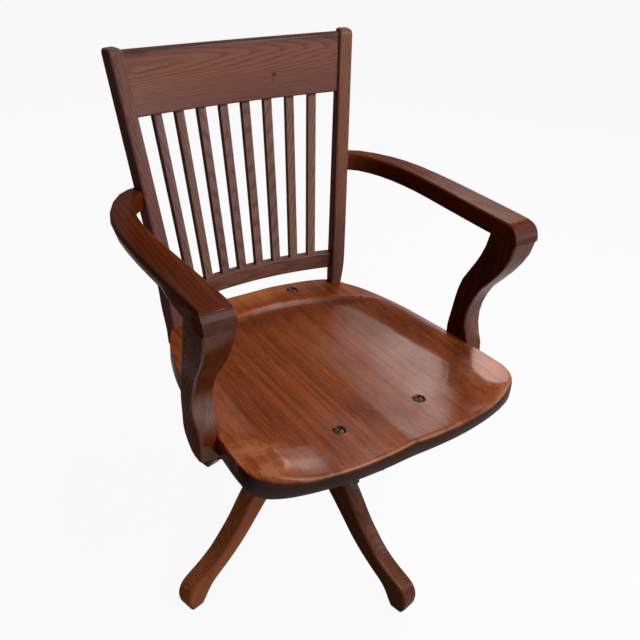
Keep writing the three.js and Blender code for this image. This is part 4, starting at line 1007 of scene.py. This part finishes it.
class CHAIR_OT_arms(bpy.types.Operator):
    """Build the arm rails, arm posts and dowels"""

    bl_idname = "chair.arms"
    bl_label = "Arms"

    def execute(self, context):
        wood = context.scene.chair_wood
        low, high = corners("arm_rail_left")
        nose_in, nose_down, joint_depth = 22 * MM, 12 * MM, 62 * MM
        nose = Vector((low.x + nose_in, low.y, high.z - nose_down))
        # Greyish noses: painted sheen on the arms' rounded ends, with polish darkened by hands
        spots = [
            ((sign * nose.x, nose.y, nose.z), (0.06, 0.022, 0.034), wood.handled_and_sheen, 0.85, 0.6)
            for sign in (1, -1)
        ]
        # Strong edge lightening on the arms and posts: wear and a painted highlight along their edges
        rails = oak(
            "Arm oak", wood.arms, gloss=0.3, coat=0.1, figure=0.75, spacing=0.6, spots=spots, calm=0.5, rub=1.5,
        )
        # Painted highlight on the posts' lower fronts, where they kick forward
        spots += [
            ((sign * 0.265, -0.135, 0.485), (0.04, 0.03, 0.045), wood.painted_kick_highlight, 0.7, 0.9) for sign in (1, -1)
        ]
        posts = oak(
            "Post oak", wood.posts, gloss=0.28, coat=0.6, shine=0.18, spacing=0.6, spots=spots, calm=0.6,
            rub=0.9,
        )
        options = {"width": wood.arm_rounding, "joint": (low.z, low.y + joint_depth)}
        for side, seed in (("right", 31.0), ("left", 33.0)):
            rail, post = f"arm_rail_{side}", f"arm_post_{side}"
            shape = frame_copy(rail)
            round_nose(shape, wood.nose_rounding)
            wood_piece(rail, rails, "seat", "arm_oak", DEEP, WIDE, seed, shape=shape, **options)
            wood_piece(post, posts, "seat", "frame_oak", (0, -0.12, 1), DEEP, seed + 0.5, **options)
            for kind in ("arm", "stile", "post_front", "post_rear"):
                dowel = f"{kind}_dowel_{side}"
                plain_piece(dowel, f"{dowel}_wood", bare_dowel("Bare dowel"), "seat", "dowel_wood")
        return {"FINISHED"}


class CHAIR_OT_base(bpy.types.Operator):
    """Build the hub and its four splayed legs"""

    bl_idname = "chair.base"
    bl_label = "Base"

    def execute(self, context):
        wood = context.scene.chair_wood
        # The front right leg gets a darker copy of the leg stain: painted shade
        plain, shaded = (
            oak(name, stain, gloss=0.36, figure=0.85, spacing=0.6, calm=0.35)
            for name, stain in (("Leg oak", wood.legs), ("Dark leg oak", wood.dark_leg))
        )
        wood_piece("base_hub", plain, "base", "leg_oak", UP, WIDE, 40.0)
        for i, corner in enumerate(CORNERS):
            node = f"leg_{corner}"
            out = (upright(node)[0] - AXIS).normalized()
            across = Vector((-out.y, out.x, 0))
            wood_piece(node, plain if i else shaded, "base", "leg_oak", None, across, 41.0 + i)
        return {"FINISHED"}


class CHAIR_OT_bolts(bpy.types.Operator):
    """Build the slotted seat bolts and their nuts"""

    bl_idname = "chair.bolts"
    bl_label = "Seat bolts"

    def execute(self, context):
        metal = context.scene.chair_metal
        material = turned_steel("Browned steel", metal.bolt, 0.42)
        shank, head, dome, tip, chamfer, threaded = 4 * MM, 4 * MM, 2 * MM, 0.4 * MM, 0.6 * MM, 16 * MM
        core = shank - metal.rod_depth
        for corner, turn in BOLT_SLOTS.items():
            node = f"seat_bolt_{corner}"
            middle, radius, foot, top = upright(node)
            seat = top - head
            profile = [
                (0, foot), (core - tip, foot), (core, foot + tip), (core, foot + threaded),
                (shank, foot + threaded + chamfer), (shank, seat), (radius - chamfer, seat),
                (radius, seat + chamfer),
            ]
            profile += [(radius * math.cos(a), top - dome + dome * math.sin(a)) for a in quarter(6)[:-1]]
            shape = bmesh.new()
            spun(shape, [*profile, (0, top)], 36, middle)
            add_thread(shape, middle, shank, metal.rod_depth, foot, foot + threaded, metal.rod_pitch, 16)
            soften(shape)
            piece = as_object(f"slotted_bolt_{corner}", shape)
            cut_slot(piece, middle, top, radius, turn, metal.slot_width, metal.slot_depth)
            finish_piece(piece, material, "seat", "dark_steel", node)
            nut = f"hexagon_nut_{corner}"
            plain_piece(f"bolt_nut_{corner}", nut, material, "seat", "dark_steel", 0.5 * MM)
        return {"FINISHED"}


class CHAIR_OT_swivel(bpy.types.Operator):
    """Build the swivel socket, its screws and washer, and the sleeve with its key"""

    bl_idname = "chair.swivel"
    bl_label = "Swivel"

    def execute(self, context):
        black, bright = black_iron(), oiled_steel()
        slot_width, slot_depth = 1.1 * MM, 1 * MM
        plain_piece("socket_tube", "swivel_socket", black, "base", "black_iron", 0.8 * MM)
        plain_piece("swivel_sleeve", "swivel_sleeve_iron", black, "swivel", "black_iron", 0.8 * MM)
        plain_piece("thrust_washer", "thrust_washer_steel", bright, "base", "plain_steel", 0.3 * MM)
        plain_piece("spindle_key", "spindle_key_steel", bright, "swivel", "plain_steel", 0.3 * MM)
        for i in range(1, 5):
            node = f"socket_screw_{i}"
            screw = plain_piece(node, f"countersunk_screw_{i}", bright, "base", "plain_steel")
            centre, radius, _, top = upright(node)
            cut_slot(screw, centre, top, radius, 25 + 70 * i, slot_width, slot_depth)
        return {"FINISHED"}


class CHAIR_OT_height_screw(bpy.types.Operator):
    """Build the threaded spindle and its handwheel"""

    bl_idname = "chair.height_screw"
    bl_label = "Height screw"

    def execute(self, context):
        metal = context.scene.chair_metal
        shape = bmesh.new()
        core = SCREW_RADIUS - metal.screw_depth
        shoulder = corners("tilt_yoke")[0].z
        chamfer = 1 * MM
        spun(shape, [
            (0, SCREW_FOOT), (core - chamfer, SCREW_FOOT), (core, SCREW_FOOT + chamfer), (core, shoulder),
            (SCREW_RADIUS, shoulder + chamfer), (SCREW_RADIUS, SCREW_TOP), (0, SCREW_TOP),
        ], 40, AXIS)
        add_thread(
            shape, AXIS, SCREW_RADIUS, metal.screw_depth, SCREW_FOOT + chamfer, shoulder, metal.screw_pitch, 28,
        )
        soften(shape)
        spindle = as_object("threaded_spindle", shape)
        finish_piece(spindle, oiled_steel(), "column", "plain_steel", "height_spindle")
        plain_piece("height_handwheel", "spoked_handwheel", black_iron(), "handwheel", "black_iron", 0.9 * MM)
        return {"FINISHED"}


class CHAIR_OT_tilt(bpy.types.Operator):
    """Build the tilt yoke, its pivot pin, the iron spider and the rod's eye pin"""

    bl_idname = "chair.tilt"
    bl_label = "Tilt"

    def execute(self, context):
        rounding = context.scene.chair_metal.edge_rounding
        plain_piece("tilt_yoke", "cast_tilt_yoke", black_iron(), "column", "black_iron", rounding)
        plain_piece("seat_spider", "cast_spider", black_iron(), "seat", "black_iron", rounding)
        plain_piece("tilt_pivot_pin", "headed_pivot_pin", oiled_steel(), "column", "plain_steel", 0.5 * MM)
        plain_piece("rod_eye_pin", "eye_pin", oiled_steel(), "seat", "plain_steel", 0.4 * MM)
        return {"FINISHED"}


class CHAIR_OT_tension(bpy.types.Operator):
    """Build the tension spring, its rod, washer and knob"""

    bl_idname = "chair.tension"
    bl_label = "Tension spring"

    def execute(self, context):
        metal = context.scene.chair_metal
        spring, rod, threaded = upright("tension_spring"), upright("tension_rod"), 20 * MM
        centre = Vector((spring[0].x, rod[0].y, 0))
        self.spring(metal, centre, *spring[1:])
        self.rod(metal, centre, rod[2], spring[2] + threaded)
        plain_piece(
            "spring_washer", "spring_washer_steel", oiled_steel(), "tension_rod", "plain_steel", 0.4 * MM,
        )
        plain_piece("tension_knob", "lobed_knob", black_iron(), "tension_knob", "black_iron", 2 * MM)
        return {"FINISHED"}

    def spring(self, metal, centre, reach, foot, top):
        wire = metal.wire / 2
        place = Matrix.Translation(centre + Vector((reach - wire, 0, foot + wire)))
        shape = bmesh.new()
        bmesh.ops.create_circle(
            shape, cap_ends=True, segments=12, radius=wire, matrix=place @ Matrix.Rotation(math.pi / 2, 4, "X"),
        )
        rise = top - foot - 2 * wire
        wound(shape, next(iter(shape.faces)), centre, rise, metal.curls, round(metal.curls * 32))
        bmesh.ops.recalc_face_normals(shape, faces=shape.faces)
        soften(shape)
        piece = as_object("coil_spring", shape, normals=False)
        material = turned_steel("Spring steel", metal.steel, 0.3)
        finish_piece(piece, material, "column", "plain_steel", "tension_spring")
        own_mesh(piece)

    def rod(self, metal, centre, foot, thread_top):
        """The frame's rod, its lower end cut down to the thread's core, with the ridge wound on."""
        shape = frame_copy("tension_rod")
        tip = foot + 5 * MM
        radius = max((vert.co - centre).xy.length for vert in shape.verts if vert.co.z < tip)
        cut_level(shape, (0, 0, thread_top), UP)
        for vert in shape.verts:
            if vert.co.z < thread_top - 0.01 * MM:
                vert.co.xy = centre.xy + (vert.co - centre).xy * (1 - metal.rod_depth / radius)
        add_thread(shape, centre, radius, metal.rod_depth, foot, thread_top, metal.rod_pitch, 16)
        soften(shape)
        piece = as_object("threaded_rod", shape)
        finish_piece(piece, oiled_steel(), "tension_rod", "plain_steel", "tension_rod")


# Stage

LAMP_TARGET = Vector((0, 0, 0.43))
FLOOR_RADIUS, FLOOR_DROP, FLOOR_GLOW = 30, 0.5 * MM, 0.93


class CHAIR_OT_stage(bpy.types.Operator):
    """Set the floor, lamps, world and camera"""

    bl_idname = "chair.stage"
    bl_label = "Stage"

    def execute(self, context):
        stage = context.scene.chair_stage
        self.floor(stage)
        self.world(context.scene, stage)
        for name, place, size, watts in (
            ("window", (1.7, 1.2, 1.9), 0.8, stage.window),
            ("skylight", (0.82, -1.5, 2.2), 1.4, stage.skylight),
            ("doorway", (1.9, -1.3, 0.85), 0.8, stage.doorway),
        ):
            self.lamp(name, Vector(place), size, watts)
        self.camera(context.scene, stage)
        context.scene.view_settings.view_transform = "Standard"
        return {"FINISHED"}

    def in_view(self, tree):
        """1 where the camera, a reflection or glass looks, and 0 for light that falls on the chair."""
        rays = make(tree, "ShaderNodeLightPath", {}).outputs
        seen = maths(tree, "MAXIMUM", rays["Is Camera Ray"], rays["Is Glossy Ray"])
        return maths(tree, "MAXIMUM", seen, rays["Is Transmission Ray"])

    def floor(self, stage):
        shape = bmesh.new()
        under = Matrix.Translation((0, 0, -FLOOR_DROP))
        bmesh.ops.create_circle(shape, cap_ends=True, segments=64, radius=FLOOR_RADIUS, matrix=under)
        piece = as_object("floor", shape, normals=False)
        material = bpy.data.materials.new("Pale floor")
        material.use_nodes = True
        tree = material.node_tree
        shader = tree.nodes["Principled BSDF"]
        plug(tree, shader, {"Base Color": [stage.floor] * 3, "Roughness": 0.9, "Specular IOR Level": 0.1})
        glow = make(tree, "ShaderNodeEmission", {"Color": (1, 1, 1), "Strength": 1.0})
        amount = times(tree, self.in_view(tree), FLOOR_GLOW)
        mixed = make(tree, "ShaderNodeMixShader", {0: amount, 1: shader.outputs[0], 2: glow.outputs[0]})
        plug(tree, tree.nodes["Material Output"], {"Surface": mixed.outputs[0]})
        piece.data.materials.append(material)

    def world(self, scene, stage):
        scene.world = bpy.data.worlds.new("White room")
        scene.world.use_nodes = True
        tree = scene.world.node_tree
        strength = maths(tree, "MULTIPLY_ADD", self.in_view(tree), 1 - stage.room, stage.room)
        plug(tree, tree.nodes["Background"], {"Strength": strength, "Color": (1, 1, 1)})

    def lamp(self, name, place, size, watts):
        """A round soft lamp that shines at the middle of the chair."""
        light = bpy.data.lights.new(name, "AREA")
        light.shape = "DISK"
        light.size = size
        light.energy = watts
        lamp = bpy.data.objects.new(name, light)
        lamp.location = place
        lamp.rotation_euler = (LAMP_TARGET - place).to_track_quat("-Z", "Y").to_euler()
        bpy.context.scene.collection.objects.link(lamp)

    def camera(self, scene, stage):
        lens = bpy.data.cameras.new("camera")
        lens.lens = stage.lens
        lens.shift_x = stage.shift
        eye = bpy.data.objects.new("camera", lens)
        eye.matrix_world = (
            Matrix.Translation(stage.eye) @ Matrix.Rotation(-stage.turn, 4, "Z")
            @ Matrix.Rotation(math.pi / 2 - stage.dip, 4, "X") @ Matrix.Rotation(stage.roll, 4, "Z")
        )
        scene.collection.objects.link(eye)
        scene.camera = eye


class CHAIR_PT_panel(bpy.types.Panel):
    """Lists the chair's pieces and settings"""

    bl_idname = "CHAIR_PT_panel"
    bl_label = "Bankers swivel chair"
    bl_space_type = "VIEW_3D"
    bl_region_type = "UI"
    bl_category = "Chair"

    def draw(self, context):
        for operator in OPERATORS:
            self.layout.operator(operator.bl_idname)
        for group, name in GROUPS.items():
            box = self.layout.box()
            for setting in group.__annotations__:
                box.prop(getattr(context.scene, name), setting)


GROUPS = {
    ChairWood: "chair_wood", ChairSeat: "chair_seat", ChairMetal: "chair_metal", ChairStage: "chair_stage",
}
OPERATORS = (
    CHAIR_OT_seat, CHAIR_OT_back, CHAIR_OT_arms, CHAIR_OT_base, CHAIR_OT_bolts, CHAIR_OT_swivel,
    CHAIR_OT_height_screw, CHAIR_OT_tilt, CHAIR_OT_tension, CHAIR_OT_stage,
)


def register():
    for group, name in GROUPS.items():
        bpy.utils.register_class(group)
        setattr(bpy.types.Scene, name, PointerProperty(type=group))
    for item in (*OPERATORS, CHAIR_PT_panel):
        bpy.utils.register_class(item)


def unregister():
    for item in (CHAIR_PT_panel, *reversed(OPERATORS)):
        bpy.utils.unregister_class(item)
    for group, name in GROUPS.items():
        delattr(bpy.types.Scene, name)
        bpy.utils.unregister_class(group)


def main():
    register()
    for name in ("Cube", "Light", "Camera"):
        if name in bpy.data.objects:
            bpy.data.objects.remove(bpy.data.objects[name])
    for operator in OPERATORS:
        family, action = operator.bl_idname.split(".")
        getattr(getattr(bpy.ops, family), action)()


if __name__ == "__main__":
    main()
